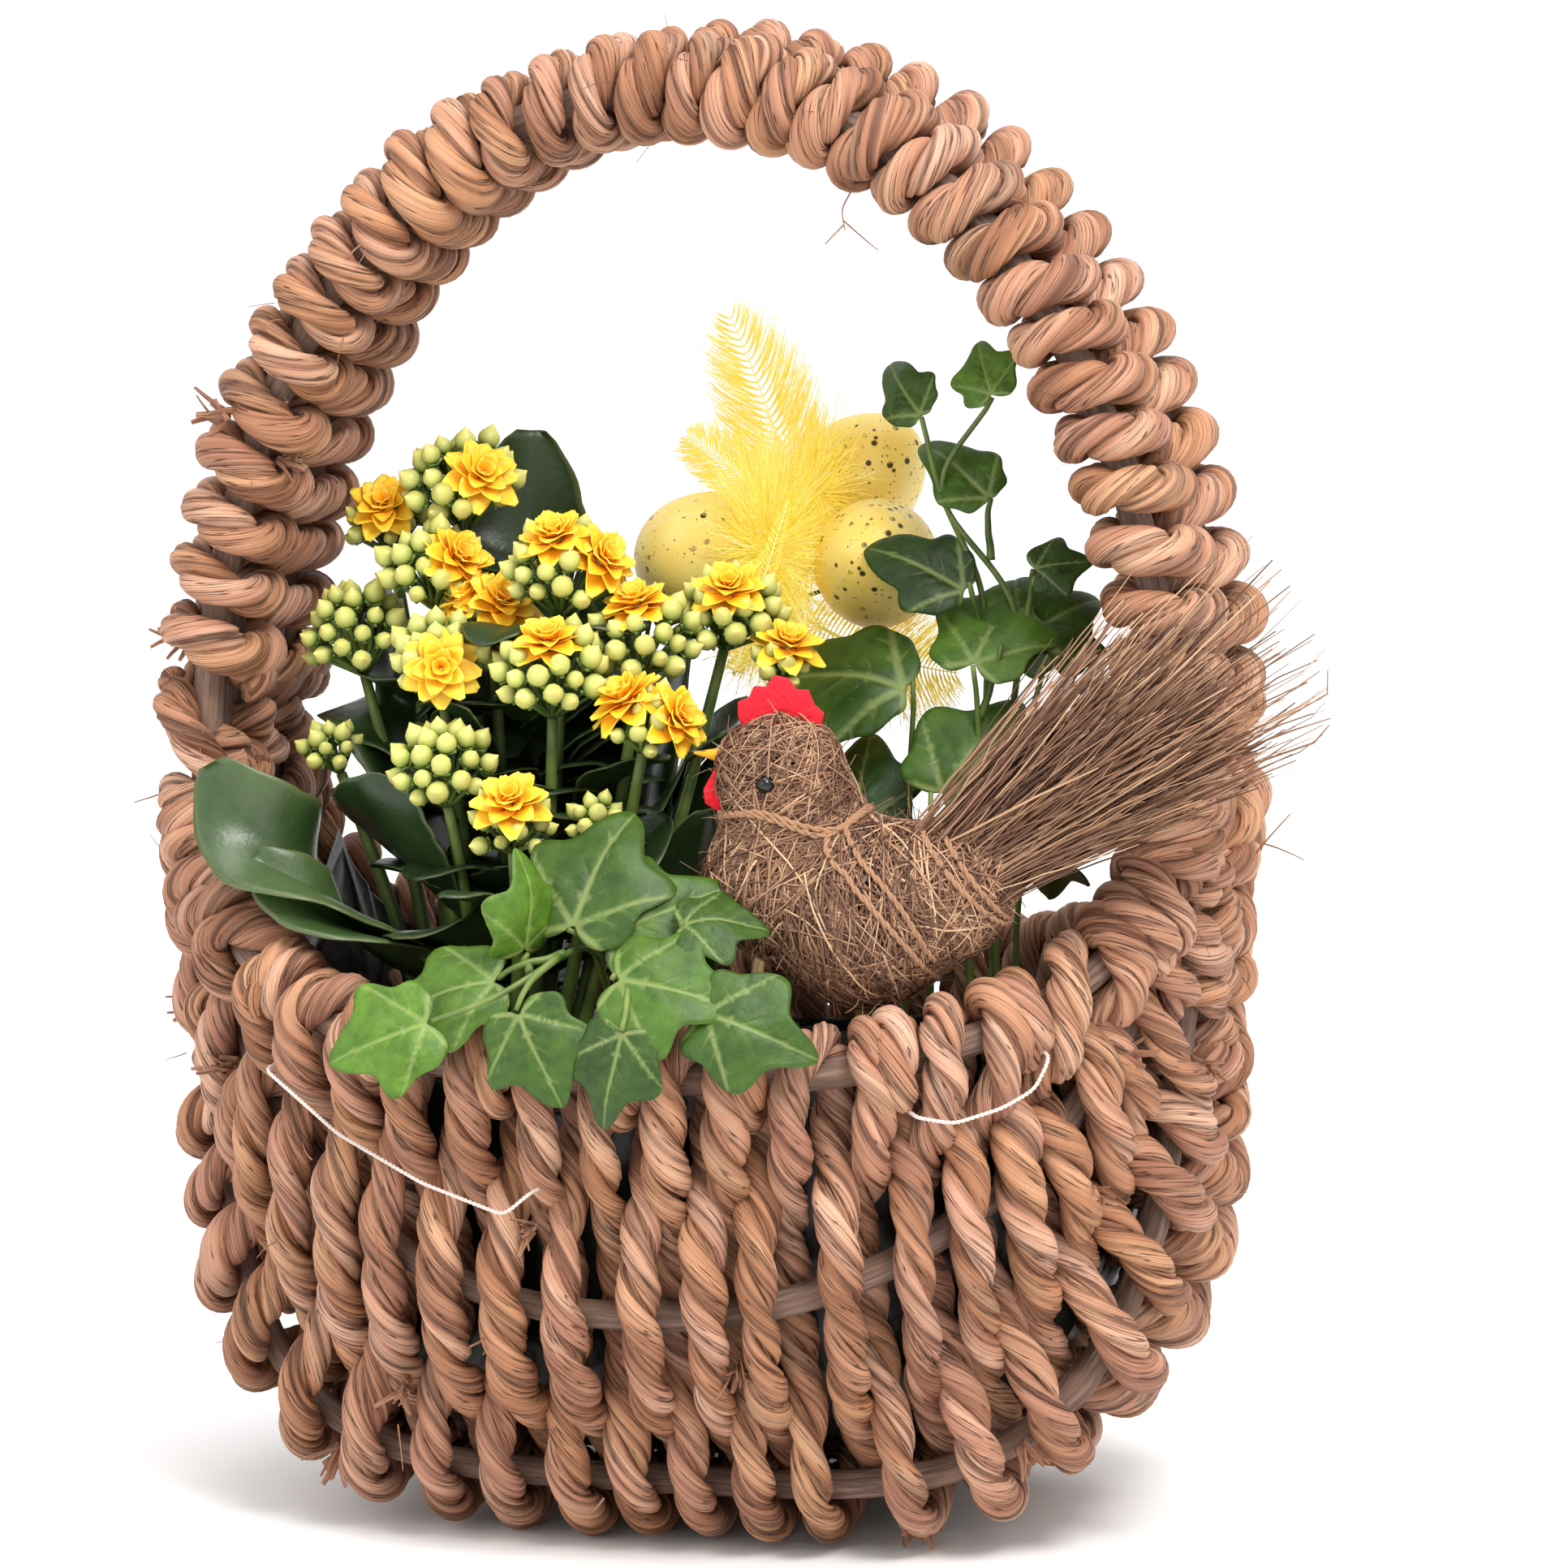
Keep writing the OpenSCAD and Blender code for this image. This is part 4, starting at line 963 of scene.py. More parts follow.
def build_ivy(leaf, stem):
    for side, leaves, vines in (("front", FRONT_IVY, FRONT_VINES), ("back", BACK_IVY, BACK_VINES)):
        parts = [ivy_part(at, n, tip, length, 200 + i, curl, tone, IVY_LONG if narrow else IVY_EDGE)
                 for i, (at, n, tip, length, curl, tone, narrow) in enumerate(leaves)]
        make(f"ivy_{side}_blades", parts, leaf, "root", [f"ivy_{side}_leaves"])
        tubes = [curved_tube(v, (1.0, 0.6), 8, 10, 31 * i, 0.5) for i, v in enumerate(vines)]
        make(f"ivy_{side}_runners", tubes, stem, "root", [f"ivy_{side}_vines"])


# ---- lining, soil and stitches ----
FILM_THICK = 0.12
# The stitches: the two wall coordinates and how far out, from end to end
STITCHES = {"stitch_left": [(131, -2.72, 0), (130.5, -2.7, 12.6), (120, -2.6, 13.6), (110, -2.52, 13.8),
                            (101, -2.46, 13.4), (98.5, -2.55, 12.5), (98, -2.56, 2)],
            "stitch_right": [(59, -2.78, 2), (58.5, -2.78, 12.6), (55, -2.7, 13.8), (50, -2.68, 13.8),
                             (46.5, -2.7, 13.6), (45, -2.85, 12.6), (44.6, -2.87, 1)]}


def film_in(w):
    """How far in from the middle of the wall the film lies, further where the rods bunch towards the legs."""
    return WALL_IN + 0.8 + np.where(np.abs(w - 90) > 60, 1.2, 0.0)


def build_film(material):
    w, v = np.meshgrid(np.linspace(18, 162, 170), np.linspace(-2.8, 2.8, 190), indexing="ij")
    out = wall_frame(w, v)[0]
    rng = np.random.default_rng(5)
    dent = np.zeros(w.shape)
    for _ in range(150):
        cw, cv, a = rng.uniform(18, 162), rng.uniform(-2.8, 2.8), rng.uniform(0, math.pi)
        x, y = (w - cw) / 9, (v - cv) / 0.5
        d, e = x * math.cos(a) + y * math.sin(a), y * math.cos(a) - x * math.sin(a)
        dent += rng.uniform(0.3, 1.0) * np.exp(-np.abs(d) * 3.2 - e * e * 0.5)
    inner = wall_point(w, v) - out * (film_in(w) + np.clip(dent, 0, 2.4))[..., None]
    sheet = make("film", [slab(inner, out, FILM_THICK, {})], material, "root", ["liner_film"])


def build_soil(material):
    w, v = np.meshgrid(np.linspace(20, 160, 90), np.linspace(-2.7, 2.7, 70), indexing="ij")
    p = wall_point(w, v) - wall_frame(w, v)[0] * (film_in(w) + 3.2)[..., None]
    lumps = np.stack([smooth_noise(70, 5, 300 + i, 2) for i in range(90)])
    lumps = (lumps + np.roll(lumps, 1, 0) + np.roll(lumps, 2, 0)) / 3
    top = p.copy()
    p[..., 2] = np.minimum(p[..., 2], SOIL_Z - 1)
    top[..., 2] = np.maximum(p[..., 2] + 0.4, SOIL_Z - 1 + 1.8 * lumps)
    inside = np.abs(w[:, 0] - 90) <= 62
    fill = tube(np.concatenate([top, p[:, ::-1]], axis=1)[inside])
    make("soil_fill", [fill], material, "root", ["soil"])


def twisted(p, step, lay, off, radius):
    """Two fine strands twisted round a path whose points lie step apart, a turn every lay."""
    _, a, b = path_frames(p)
    parts = []
    for k in range(2):
        turn = np.arange(len(p)) * step * 2 * np.pi / lay + k * np.pi
        parts.append(round_tube(p + (a * np.cos(turn)[:, None] + b * np.sin(turn)[:, None]) * off, radius, 8))
    return parts


def build_stitches(material):
    for name, points in STITCHES.items():
        line = np.array([wall_point(w, v) + wall_frame(w, v)[0] * up for w, v, up in points])
        strands = twisted(resample(line, 0.5, 3), 0.5, 2.2, 0.22, 0.27)
        make(name + "_thread", strands, material, "root", [name])


# ---- egg pick ----
STICK_R = 1.5
EGG_LEAN = np.array([0, math.sin(math.radians(20)), math.cos(math.radians(20))])
EGG_TOP = np.array([10.0, 34.0, 209.0])
TUFT = np.array([10.0, 31.0, 209.0])
EGG_AT = {"left": (-9, 35, 211), "front": (31, 29, 211), "back": (21, 54, 227)}
EGG_TURN = {"left": (0, 74, -8), "front": (66, 0, 12), "back": (20, 48, 0)}
# Feathers: foot, tip, width, seed, how far up the down reaches, and for some the bow and the side they face
FEATHERS = {"feather_tall": ((12, 40, 203), (-9, 50, 265), 24, 1, 0.3, (3, 0, 0)),
            "feather_short": ((6, 45, 213), (-20, 54, 236), 14, 2, 0.3, (0, 0, 3), (0.2, -1, 0.3)),
            "feather_front": ((1, 16, 186), (14, 15, 226), 5, 3, 0.3),
            "feather_low": ((14, 32, 197), (48, 38, 185), 26, 4, 1.2, (0, 0, -2))}


def rotation(x, y, z):
    """Turned about X, then Y, then Z, in degrees."""
    (cx, cy, cz), (sx, sy, sz) = np.cos(np.radians([x, y, z])), np.sin(np.radians([x, y, z]))
    rx = np.array([[1, 0, 0], [0, cx, -sx], [0, sx, cx]])
    ry = np.array([[cy, 0, sy], [0, 1, 0], [-sy, 0, cy]])
    rz = np.array([[cz, -sz, 0], [sz, cz, 0], [0, 0, 1]])
    return rz @ ry @ rx


def build_egg(name, at, turn, material):
    """A plastic egg with the two seams of its mould."""
    s = np.sin(np.radians(np.linspace(-90, 90, 60)[1:-1]))[:, None]
    c = np.cos(np.radians(np.linspace(-90, 90, 60)[1:-1]))[:, None]
    a = np.linspace(0, 2 * np.pi, 80, endpoint=False)
    seam = np.minimum(np.abs(a - np.pi * 0.25), np.abs(a - np.pi * 1.25))
    r = 14.2 * c * (1 - 0.11 * s) * (1 + np.exp(-(seam / 0.018) ** 2) * 0.12 / 14)
    grid = stack(r * np.cos(a), r * np.sin(a), 18.2 * s)
    world = grid @ rotation(*turn).T + at
    make(name + "_shell", [tube(world, {"leaf": grid, "seam": seam})], material, "egg_pick", [name])


def feather_parts(a, b, width, seed, down, bend=(0, 0, 0), face=(0, -1, 0)):
    """A feather: its quill and hundreds of fine barbs, fluffy towards its foot."""
    rng = np.random.default_rng(seed)
    a, b = np.array(a, float), np.array(b, float)
    n, m = 40, 8
    t = np.linspace(0, 1, n)
    q = np.linspace(0, 1, m)[:, None]
    quill = a + (b - a) * t[:, None] + np.array(bend, float) * (4 * t * (1 - t))[:, None]
    f = unit(np.gradient(quill, axis=0))
    side = unit(np.cross(f, np.array(face, float)))
    out = np.cross(side, f)
    parts = [round_tube(quill, np.linspace(0.5, 0.12, n), 6, {"tone": 0.9})]
    count = int(np.linalg.norm(b - a) * 6.5)
    for k in range(count):
        s = 0.03 + 0.97 * (k / count)
        i = min(int(s * (n - 1)), n - 1)
        soft = max(0.0, 1 - s / down)
        shape = math.sin(math.pi * min(0.18 + 0.8 * s, 1)) ** 0.7
        for sign in (-1, 1):
            reach = width / 2 * shape * rng.uniform(0.75, 1.12) + width * 0.2 * soft * rng.uniform(0, 1)
            if rng.random() < 0.06:
                reach *= 0.5
            lean = rng.uniform(0.55, 1.0) * (1 - soft)
            p = (quill[i] + side[i] * sign * reach * q + f[i] * reach * lean * q ** 1.4 * 1.3
                 + out[i] * (rng.normal(0, 0.06 + 0.3 * soft) * reach * q ** 1.5))
            p += rng.normal(0, (0.05 + 0.55 * soft), (m, 3)) * q
            tone = rng.uniform(0, 1) * (0.4 + 0.6 * s)
            parts.append(round_tube(p, np.linspace(0.16, 0.07, m), 3, {"tone": tone}))
    return parts


def down_parts(centre, radius, count, seed, stretch):
    """Loose down: tufts of fine curling hairs."""
    rng = np.random.default_rng(seed)
    parts = []
    m = 9
    q = np.linspace(0, 1, m)[:, None]
    for _ in range(count):
        d = unit(rng.normal(0, 1, 3))
        root = centre + d * radius * rng.uniform(0.0, 0.5) * np.array(stretch)
        curl = unit(np.cross(d, rng.normal(0, 1, 3)))
        size = radius * rng.uniform(0.5, 1.05)
        p = root + d * size * q * np.array(stretch) + curl * size * 0.5 * q ** 2 * rng.uniform(-1, 1)
        p += rng.normal(0, 0.25, (m, 3)) * q
        parts.append(round_tube(p, np.linspace(0.15, 0.06, m), 3, {"tone": rng.uniform(0, 1)}))
    return parts


def build_egg_pick(egg, feather, stick, wire):
    for name in EGG_AT:
        build_egg("egg_" + name, EGG_AT[name], EGG_TURN[name], egg)
    line = np.array([EGG_TOP - 170 * EGG_LEAN, EGG_TOP - 60 * EGG_LEAN, EGG_TOP])
    make("egg_pick_stick", [round_tube(line, STICK_R, 16)], stick, "egg_pick", ["egg_stick"])
    start = EGG_TOP - 8 * EGG_LEAN
    wires = [curved_tube([start, (start + at) / 2 + [0, -2, -2], at], 0.5, 8, 8) for at in EGG_AT.values()]
    make("egg_pick_wires", wires, wire, "egg_pick", ["egg_wires"])
    for name, shape in FEATHERS.items():
        make(name + "_barbs", feather_parts(*shape), feather, "egg_pick", [name])
    tuft = down_parts(TUFT + [-3, -7, 4], 17, 1500, 5, (0.8, 0.7, 1.5))
    tuft += down_parts(TUFT + [4, 6, 16], 14, 700, 6, (0.9, 0.7, 1.3))
    tuft += down_parts(TUFT + [-4, -4, -14], 13, 500, 7, (1, 0.8, 1))
    make("egg_down", tuft, feather, "egg_pick", ["egg_down_tuft"])


# ---- hen ----
HEN = np.array([47.0, -52.0, 0.0])


def hen_at(x, z, y=0.0):
    return HEN + [x, y, z]


def capsule_field(p, balls):
    """Distance from points to a chain of balls joined by cones, smoothly joined."""
    best = np.full(len(p), 1e9)
    for (a, ra), (b, rb) in zip(balls[:-1], balls[1:]):
        ab = b - a
        t = np.clip(((p - a) @ ab) / (ab @ ab), 0, 1)
        d = np.linalg.norm(p - a - t[:, None] * ab, axis=1) - (ra + (rb - ra) * t)
        k = 5.0
        h = np.clip(0.5 + 0.5 * (best - d) / k, 0, 1)
        best = best * (1 - h) + d * h - k * h * (1 - h)
    return best


HEN_CHAIN = [(hen_at(-18, 173), 13.0), (hen_at(-14, 161), 12.6), (hen_at(-16, 151), 16.0),
             (hen_at(1, 144), 18.5), (hen_at(18, 149), 13.0), (hen_at(27, 155), 8.5)]


def hen_surface(p):
    """Points moved on to the surface of the hen, and its normals there."""
    e = 0.2
    for _ in range(4):
        d = capsule_field(p, HEN_CHAIN)
        g = np.stack([capsule_field(p + e * np.eye(3)[k], HEN_CHAIN) - d for k in range(3)], axis=1) / e
        g = unit(g)
        p = p - g * d[:, None]
    return p, g


# The hen's felt, in X and Z from its middle: the comb's outline and the wattle's
COMB = [(-8, -2), (-9.5, 2), (-9.5, 5), (-7, 6.2), (-6, 8.5), (-3.2, 8.4), (-1.5, 11), (1.5, 10.4), (3.4, 8),
        (6, 8), (7.4, 4.8), (9.6, 3), (8.6, -0.5), (9, -4), (4, -3), (0, -2)]
WATTLE = [(2.5, 1), (-0.5, -0.5), (-3, -5), (-2.6, -8), (0, -9.6), (3, -8), (4.2, -4), (4, 0)]
# Twine round the hen: the middle of the loops and the way they face
TWINES = {"hen_neck_twine": (hen_at(-13.5, 162), (0.42, 0.1, 0.9)),
          "hen_chest_twine": (hen_at(-3, 150), (0.82, 0.15, 0.5)),
          "hen_tail_twine": (hen_at(22, 151), (0.8, 0, 0.6))}
TAIL_ROOT = hen_at(22, 151)
HEAD_FOOT = 157.0         # the head's fibres start above this height
WIND_STEPS, WIND_STEP, WIND_LIFT = 20, 1.9, 1.5


def fibre_tube(p, radius, tone):
    """A thin three-sided fibre that tapers at its end."""
    return round_tube(p, radius * (1 - 0.5 * np.linspace(0, 1, len(p)) ** 6), 3, {"tone": tone})


def wound_paths(count, seed, head):
    """Fibres wound round the hen's head or its body: paths that follow its surface, turning as they go."""
    rng = np.random.default_rng(seed)
    which = rng.choice(len(HEN_CHAIN), count * 2, p=[0.24, 0.12, 0.22, 0.26, 0.12, 0.04])
    start = np.stack([HEN_CHAIN[i][0] + unit(rng.normal(0, 1, 3)) * (HEN_CHAIN[i][1] + 2) for i in which])
    p, g = hen_surface(start)
    inside = (p[:, 2] > HEAD_FOOT) == head
    p, g = p[inside][:count], g[inside][:count]
    count = len(p)
    chain = np.array([unit(HEN_CHAIN[min(i + 1, 5)][0] - HEN_CHAIN[max(i - 1, 0)][0]) for i in range(6)])
    centre = np.array([c for c, _ in HEN_CHAIN])
    spin = rng.normal(0, 0.55, count) + np.where(rng.random(count) < 0.3, 1.2, 0)
    paths = [p]
    heading = None
    for _ in range(WIND_STEPS):
        near = np.argmin(np.linalg.norm(p[:, None] - centre[None], axis=2), axis=1)
        round_way = unit(np.cross(chain[near], g))
        if heading is None:
            heading = unit(round_way * np.cos(spin)[:, None] + np.cross(g, round_way) * np.sin(spin)[:, None])
        heading = unit(heading - g * (heading * g).sum(1)[:, None] + rng.normal(0, 0.06, (count, 3)))
        p, g = hen_surface(p + heading * WIND_STEP)
        paths.append(p)
    q = np.stack(paths, axis=1)
    height = WIND_LIFT * rng.random(count)
    normal = hen_surface(q.reshape(-1, 3))[1].reshape(q.shape)
    waves = np.stack([smooth_noise(WIND_STEPS + 1, 5, seed + k) for k in range(count)])
    return q + normal * (height[:, None] + 0.5 * waves)[..., None]


def build_hen_core(material):
    """The dark core under the fibres."""
    a = np.linspace(0, 2 * np.pi, 48, endpoint=False)
    centre = np.array([c for c, _ in HEN_CHAIN])
    spine = resample(centre, 1.6, 2)
    spine = np.concatenate([[centre[0] + [-2, 0, 11]], spine, [centre[-1] + [6, 0, 4]]])
    _, n, b = path_frames(spine)
    round_it = n[:, None] * np.cos(a)[None, :, None] + b[:, None] * np.sin(a)[None, :, None]
    ring = spine[:, None] + round_it * 3.0
    moved, g = hen_surface(ring.reshape(-1, 3))
    make("hen_core", [tube((moved - g).reshape(ring.shape))], material, "hen", ["hen_body"])


def build_hen_fibres(material, rng):
    """Wound fibres and loose ends on the head and the body, each in an inner and an outer piece."""
    t = np.linspace(0, 1, 7)[:, None]
    for node, head, count, seed in (("hen_head", True, 1500, 12), ("hen_body", False, 2300, 13)):
        q = wound_paths(count, seed, head)
        radius, tones = rng.uniform(0.13, 0.32, len(q)), rng.uniform(0, 1, len(q))
        parts = [fibre_tube(p, r, tone) for p, r, tone in zip(q, radius, tones)]
        for _ in range(220):
            k = int(rng.integers(len(q)))
            foot = q[k, int(rng.integers(len(q[k])))]
            out = hen_surface(foot[None])[1][0]
            d = unit(out * 0.7 + rng.normal(0, 0.5, 3))
            size = rng.uniform(2, 7)
            p = foot + d * size * t + rng.normal(0, 1, 3) * t ** 2 * size * 0.3
            parts.append(fibre_tube(p, 0.12, rng.random()))
        half = len(parts) // 2
        make(node + "_fibres_inner", parts[:half], material, "hen", [node])
        make(node + "_fibres_outer", parts[half:], material, "hen", [node])


def build_hen_tail(material, rng):
    """The tail: a fan of stiff fibres of uneven length."""
    parts = []
    t = np.linspace(0, 1, 11)[:, None]
    y = np.array([0, 1, 0])
    for _ in range(1500):
        fan = rng.uniform(-1, 1)
        out = rng.normal(0, 1)
        length = rng.uniform(46, 78) if rng.random() < 0.93 else rng.uniform(78, 100)
        angle = math.radians(38 + 13 * fan + rng.normal(0, 2.0))
        d = np.array([math.cos(angle), 0, math.sin(angle)])
        across = np.array([-math.sin(angle), 0, math.cos(angle)])
        start = TAIL_ROOT + across * rng.uniform(-7, 7) + [rng.uniform(-12, 4), rng.uniform(-7, 7), 0]
        bend = across * rng.normal(0, 1.6) * t ** 2 + y * rng.normal(0, 1.5) * t ** 3
        p = start + d * length * t + y * (-5 * t + out * 3.4 * t) + bend + rng.normal(0, 0.35, (11, 3)) * t
        p[:, 0] = np.minimum(p[:, 0], 150)
        parts.append(fibre_tube(p, rng.uniform(0.14, 0.36), rng.uniform(0, 1)))
    make("hen_tail_fibres", parts, material, "hen", ["hen_tail"])


def felt_part(outline, at):
    """Felt 2 mm thick that stands along the hen, its outline eased between the given points."""
    closed = np.array([*outline, outline[0]], float)
    s = np.linspace(0, len(outline), 90, endpoint=False)
    i = s.astype(int)
    t = (s - i)[:, None]
    t = t * t * (3 - 2 * t)
    edge = closed[i] * (1 - t) + closed[i + 1] * t
    middle = edge.mean(0)
    loops = []
    for depth, size in ((-1.0, 0.02), (-1.0, 0.5), (-1.0, 0.9), (-0.7, 1.0),
                        (0.7, 1.0), (1.0, 0.9), (1.0, 0.5), (1.0, 0.02)):
        q = middle + (edge - middle) * size
        loops.append(stack(q[:, 0], depth, q[:, 1]) + at)
    return tube(np.array(loops))


def build_hen_eyes(material):
    lat = np.radians(np.linspace(-80, 80, 12))[:, None]
    a = np.linspace(0, 2 * np.pi, 20, endpoint=False)
    ball = stack(np.cos(lat) * np.cos(a), np.cos(lat) * np.sin(a), np.sin(lat)) * 2.0
    eyes = [tube(ball + hen_at(-18, 173, side)) for side in (-13.8, 13.8)]
    make("hen_eye_beads", eyes, material, "hen", ["hen_eyes"])


def build_hen_twines(material):
    ang = np.linspace(0, 2 * np.pi, 70)
    for name, (middle, normal) in TWINES.items():
        m = turn_to(normal)
        parts = []
        for turn in range(2):
            ring = middle + (m[:, 0] * np.cos(ang)[:, None] + m[:, 1] * np.sin(ang)[:, None]) * 9
            ring += m[:, 2] * (2.2 * turn + 1.5 * np.sin(ang + turn))[:, None]
            ring, out = hen_surface(ring)
            parts += twisted(resample(ring + out * 1.9, 0.8, 1), 0.8, 5, 0.34, 0.42)
        make(name, parts, material, "hen", [name])


def build_hen(fibre, core, felt, beak, bead, twine, stick):
    rng = np.random.default_rng(9)
    build_hen_core(core)
    build_hen_fibres(fibre, rng)
    build_hen_tail(fibre, rng)
    make("hen_comb_felt", [felt_part(COMB, hen_at(-18, 184))], felt, "hen", ["hen_comb"])
    make("hen_wattle_felt", [felt_part(WATTLE, hen_at(-31.5, 175, -3))], felt, "hen", ["hen_wattle"])
    line = np.linspace(hen_at(-29, 177), hen_at(-37.5, 177.5), 8)
    point = round_tube(line, np.linspace(2.2, 0.3, 8), 12)
    make("hen_beak_point", [point], beak, "hen", ["hen_beak"])
    build_hen_eyes(bead)
    build_hen_twines(twine)
    line = np.array([hen_at(0, 62), hen_at(0, 100), hen_at(0, 134)])
    make("hen_stick_wood", [round_tube(line, STICK_R, 16)], stick, "hen", ["hen_stick"])


# ---- the other materials ----
def film_material():
    s = Shader("black_film", 0.32, Specular_IOR_Level=0.5)
    s.colour(srgb(24, 24, 22))
    s.bump(s.noise(s.place(), 220.0, 3.0), 0.0006, 0.5)
    return s.material


def soil_material():
    s = Shader("planting_soil", 0.95)
    grain = s.noise(s.place(), 420.0, 5.0, 0.65)
    s.colour(s.ramp(grain, [(0.35, srgb(18, 13, 10)), (0.6, srgb(48, 36, 28)), (0.72, srgb(86, 66, 50))]))
    s.bump(grain, 0.002, 0.9)
    return s.material


def thread_material():
    s = Shader("white_thread", 0.8)
    s.colour(srgb(206, 192, 184))
    return s.material


def stem_material():
    s = Shader("green_stem", 0.5)
    s.colour(s.ramp(s.noise(s.place(), 90.0, 2.0), [(0.35, srgb(60, 84, 30)), (0.7, srgb(118, 136, 62))]))
    return s.material


def thick_leaf_material():
    s = Shader("kalanchoe_leaf", 0.34, Specular_IOR_Level=0.5, Subsurface_Weight=0.06, Subsurface_Scale=0.002)
    patch = s.noise(s.place(), 60.0, 4.0, 0.6)
    base = s.ramp(patch, [(0.3, srgb(24, 42, 18)), (0.7, srgb(44, 66, 30))])
    light = s.ramp(patch, [(0.3, srgb(60, 84, 44)), (0.7, srgb(84, 106, 58))])
    edge = s.ramp(s.attribute("edge"), [(0.86, 0.0), (1.0, 0.6)])
    s.colour(s.mix(edge, s.mix(s.attribute("tone"), light, base), srgb(86, 96, 52)))
    s.rough(s.ramp(patch, [(0.3, 0.28), (0.7, 0.45)]))
    s.bump(s.noise(s.place(), 900.0, 2.0), 0.0002, 0.4)
    return s.material


def bud_material():
    s = Shader("kalanchoe_bud", 0.42, Subsurface_Weight=0.15, Subsurface_Scale=0.002)
    height = s.attribute("height")
    green = s.ramp(height, [(0.0, srgb(92, 122, 48)), (0.35, srgb(146, 160, 74)), (0.75, srgb(196, 194, 104)),
                            (1.0, srgb(226, 212, 120))])
    s.colour(s.mix(s.math("MULTIPLY", s.attribute("tone"), 0.4), green, srgb(206, 208, 122)))
    return s.material


def petal_material():
    s = Shader("kalanchoe_petal", 0.5, Subsurface_Weight=0.12, Subsurface_Scale=0.0015)
    reach = s.attribute("reach")
    base = s.ramp(reach, [(0.0, srgb(226, 132, 12)), (0.35, srgb(244, 172, 16)), (0.8, srgb(252, 206, 44)),
                          (1.0, srgb(255, 222, 84))])
    s.colour(s.mix(s.math("MULTIPLY", s.attribute("depth"), 0.35), base, srgb(238, 158, 16)))
    s.bump(s.noise(s.place(), 1200.0, 2.0), 0.00012, 0.4)
    return s.material


def ivy_material():
    s = Shader("ivy_blade", 0.45, Specular_IOR_Level=0.32, Subsurface_Weight=0.05, Subsurface_Scale=0.001)
    leaf = s.attribute("leaf", "Vector")
    patch = s.noise(leaf, 5.0, 5.0, 0.6)
    dark = s.ramp(patch, [(0.3, srgb(18, 36, 10)), (0.7, srgb(38, 66, 18))])
    light = s.ramp(patch, [(0.3, srgb(56, 92, 18)), (0.7, srgb(92, 128, 36))])
    base = s.mix(s.attribute("tone"), dark, light)
    vein = s.ramp(s.attribute("vein"), [(0.012, 1.0), (0.034, 0.0)])
    veined = s.mix(s.math("MULTIPLY", vein, 0.42), base, srgb(158, 172, 104))
    s.colour(s.mix(s.attribute("under"), veined, s.mix(0.5, veined, srgb(132, 150, 92))))
    s.bump(s.noise(leaf, 30.0, 3.0), 0.0003, 0.4)
    return s.material


def egg_material():
    s = Shader("speckled_egg", 0.42, Subsurface_Weight=0.06, Subsurface_Scale=0.003)
    leaf = s.attribute("leaf", "Vector")
    shell = s.ramp(s.noise(leaf, 0.08, 3.0), [(0.35, srgb(248, 216, 104)), (0.65, srgb(254, 232, 140))])
    wide = s.cells(leaf, 0.3)
    fine = s.cells(leaf, 0.75)
    mask = s.ramp(s.noise(leaf, 0.16, 2.0), [(0.38, 0.0), (0.5, 1.0)])
    big = s.math("MULTIPLY", s.ramp(wide, [(0.19, 1.0), (0.26, 0.0)]), mask)
    small = s.ramp(fine, [(0.13, 1.0), (0.19, 0.0)])
    small = s.math("MULTIPLY", small, s.ramp(s.noise(leaf, 0.3, 2.0), [(0.42, 0.0), (0.52, 1.0)]))
    spots = s.math("MAXIMUM", big, small)
    line = s.ramp(s.attribute("seam"), [(0.012, 0.7), (0.04, 0.0)])
    s.colour(s.mix(spots, s.mix(line, shell, srgb(246, 226, 156)), srgb(62, 50, 26)))
    return s.material


def toned_material(name, rough, stops, **sockets):
    s = Shader(name, rough, **sockets)
    s.colour(s.ramp(s.attribute("tone"), [(at, srgb(*c)) for at, c in stops]))
    return s.material


def plain_material(name, rough, colour, grain=0.0, **sockets):
    s = Shader(name, rough, **sockets)
    s.colour(srgb(*colour))
    if grain:
        s.bump(s.noise(s.place(), 900.0, 4.0), grain, 0.9)
    return s.material


# ---- camera, floor and lights ----
AZIMUTH, ELEVATION = math.radians(14), math.radians(8)
VIEW_DISTANCE = 1.9
VIEW_WIDTH = 0.351
AIM_RIGHT, AIM_UP = 0.0162, 0.1632


def build_camera():
    right = Vector((math.cos(AZIMUTH), math.sin(AZIMUTH), 0))
    aim = right * AIM_RIGHT + Vector((0, 0, AIM_UP))
    back = Vector((math.sin(AZIMUTH) * math.cos(ELEVATION), -math.cos(AZIMUTH) * math.cos(ELEVATION),
                   math.sin(ELEVATION)))
    data = bpy.data.cameras.new("camera")
    data.sensor_width = 36
    data.lens = 36 * VIEW_DISTANCE / VIEW_WIDTH
    camera = bpy.data.objects.new("camera", data)
    camera.location = aim + back * VIEW_DISTANCE
    camera.rotation_euler = back.to_track_quat("Z", "Y").to_euler()
    bpy.context.collection.objects.link(camera)
    bpy.context.scene.camera = camera


def soft_light(name, azimuth, elevation, distance, size, power, colour):
    data = bpy.data.lights.new(name, "AREA")
    data.shape = "DISK"
    data.size, data.energy, data.color = size, power, colour
    light = bpy.data.objects.new(name, data)
    a, e = math.radians(azimuth), math.radians(elevation)
    toward = Vector((math.sin(a) * math.cos(e), -math.cos(a) * math.cos(e), math.sin(e)))
    light.location = Vector((0, 0, 0.15)) + toward * distance
    light.rotation_euler = toward.to_track_quat("Z", "Y").to_euler()
    bpy.context.collection.objects.link(light)


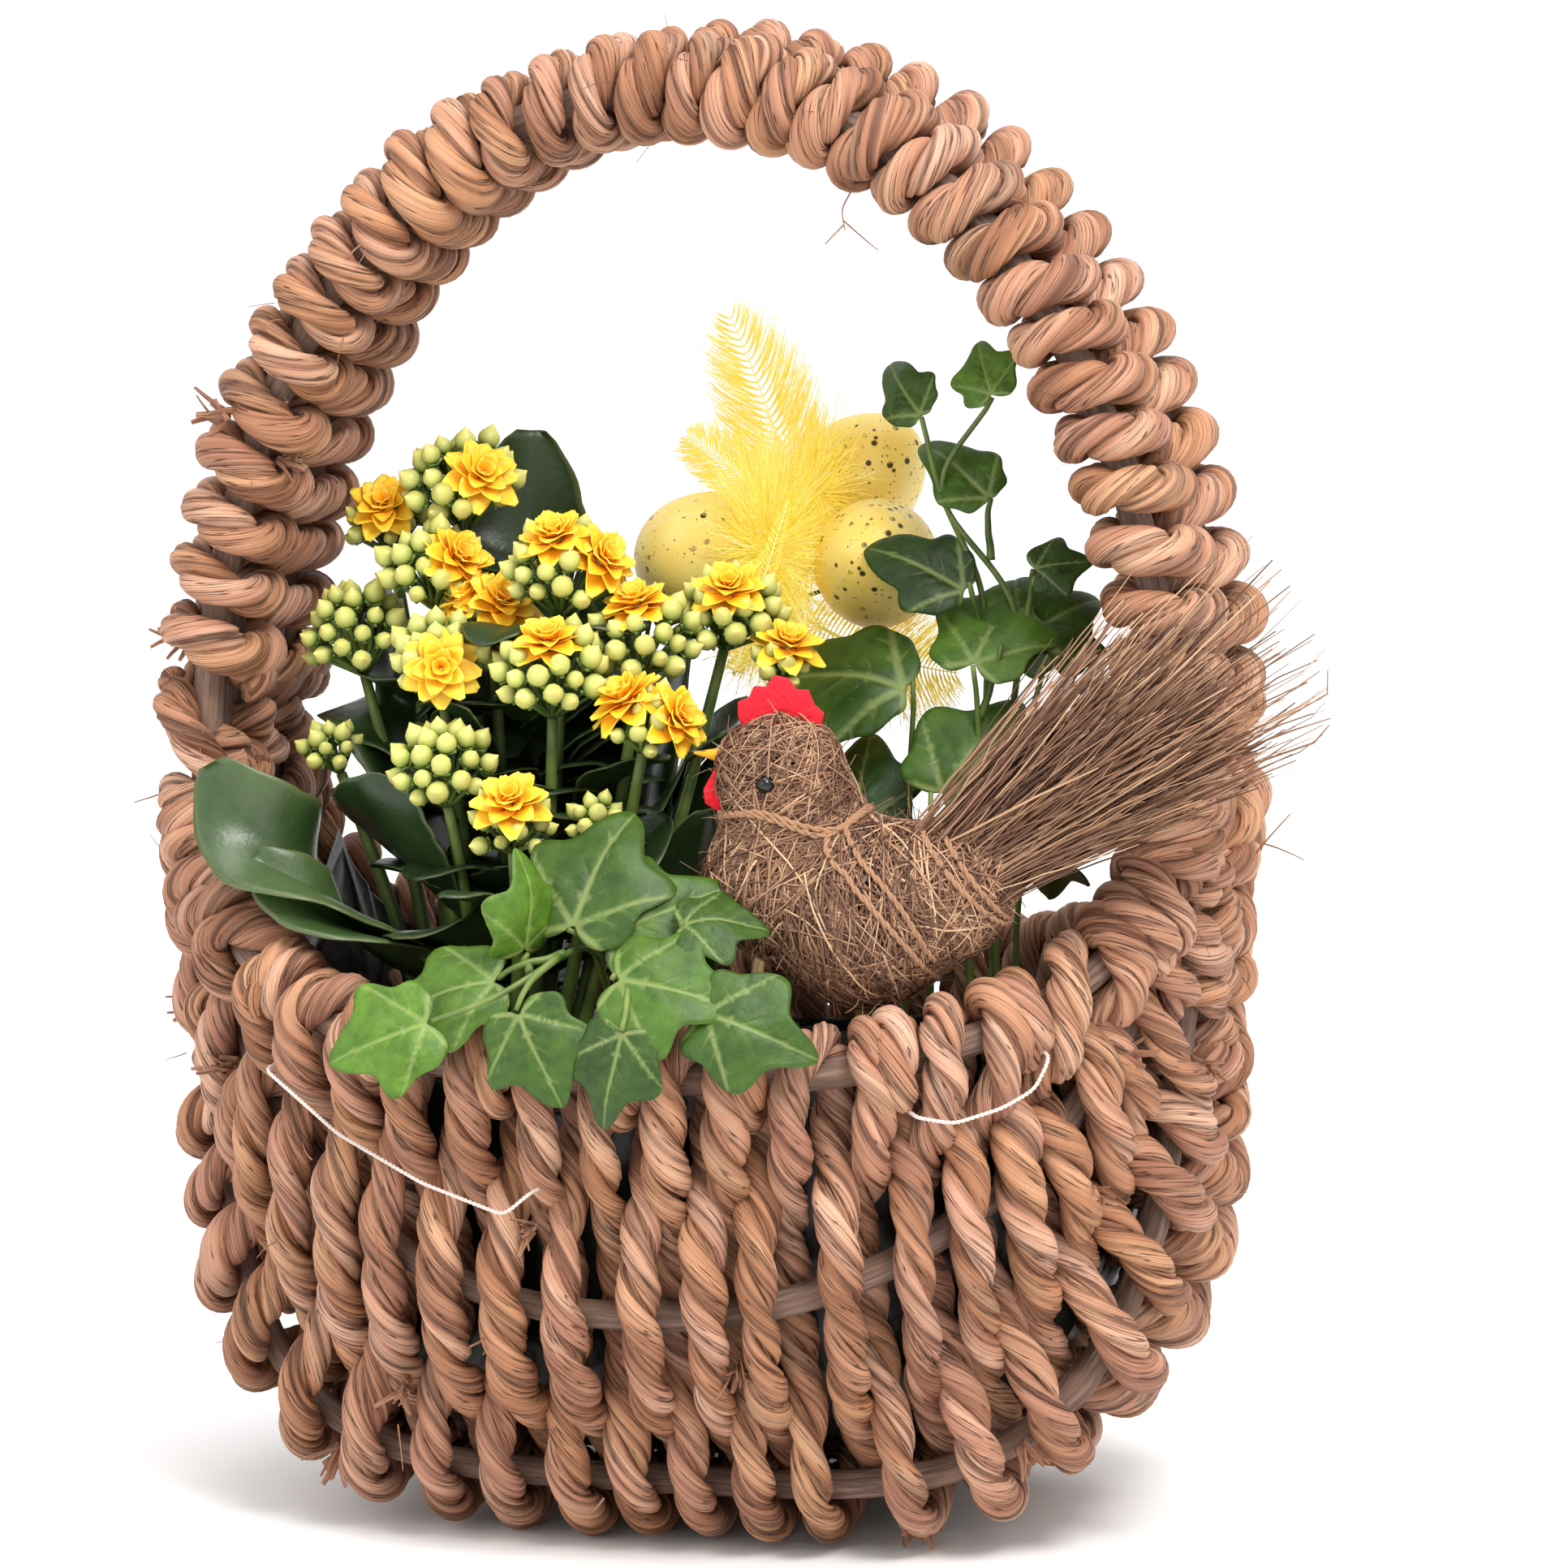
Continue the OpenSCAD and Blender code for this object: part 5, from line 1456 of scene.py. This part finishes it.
def build_stage():
    s = Shader("pale_floor", 0.9)
    s.colour((0.92, 0.92, 0.92, 1))
    mesh = bpy.data.meshes.new("floor")
    r = 6.0
    mesh.from_pydata([(-r, -r, 0), (r, -r, 0), (r, r, 0), (-r, r, 0)], [], [(0, 1, 2, 3)])
    floor = bpy.data.objects.new("floor", mesh)
    bpy.context.collection.objects.link(floor)
    mesh.materials.append(s.material)
    world = bpy.data.worlds.new("world")
    bpy.context.scene.world = world
    world.use_nodes = True
    world.node_tree.nodes["Background"].inputs["Color"].default_value = (1, 1, 1, 1)
    world.node_tree.nodes["Background"].inputs["Strength"].default_value = 1.1
    soft_light("key", 40, 48, 1.5, 0.6, 17, (1, 0.985, 0.97))
    soft_light("fill", -35, 22, 1.8, 1.2, 6, (0.98, 0.99, 1))
    soft_light("top", 10, 80, 1.4, 0.8, 8, (1, 1, 1))
    bpy.context.scene.view_settings.view_transform = "Standard"


build_camera()
build_stage()
build_rods(rod_material())
rope = rope_material()
build_ropes(rope)
build_frays(rope)
build_film(film_material())
build_soil(soil_material())
build_stitches(thread_material())
green = stem_material()
build_kalanchoe(thick_leaf_material(), green, bud_material(), petal_material())
build_ivy(ivy_material(), green)
wood = plain_material("split_wood", 0.7, (196, 164, 118))
# The feathers' yellow emission is a painted glow, standing in for light shining through the thin barbs.
feather = toned_material("yellow_feather_painted_glow", 0.6,
                         [(0.0, (254, 226, 66)), (0.6, (255, 240, 124)), (1.0, (255, 247, 190))],
                         Subsurface_Weight=0.2, Subsurface_Scale=0.001,
                         Emission_Color=(0.90, 0.72, 0.12, 1), Emission_Strength=0.22)
build_egg_pick(egg_material(), feather, wood, plain_material("florist_wire", 0.4, (90, 92, 88), Metallic=0.8))
fibre = toned_material("plant_fibre", 0.65, [(0.0, (78, 50, 36)), (0.5, (138, 98, 74)),
                                             (0.85, (176, 136, 104)), (1.0, (208, 174, 136))])
build_hen(fibre, plain_material("fibre_core", 0.9, (62, 40, 28)),
          plain_material("red_felt", 0.95, (226, 24, 44), 0.001),
          plain_material("yellow_felt", 0.85, (226, 160, 30)), plain_material("black_bead", 0.08, (8, 8, 10)),
          plain_material("jute_twine", 0.85, (160, 120, 90), 0.0006), wood)
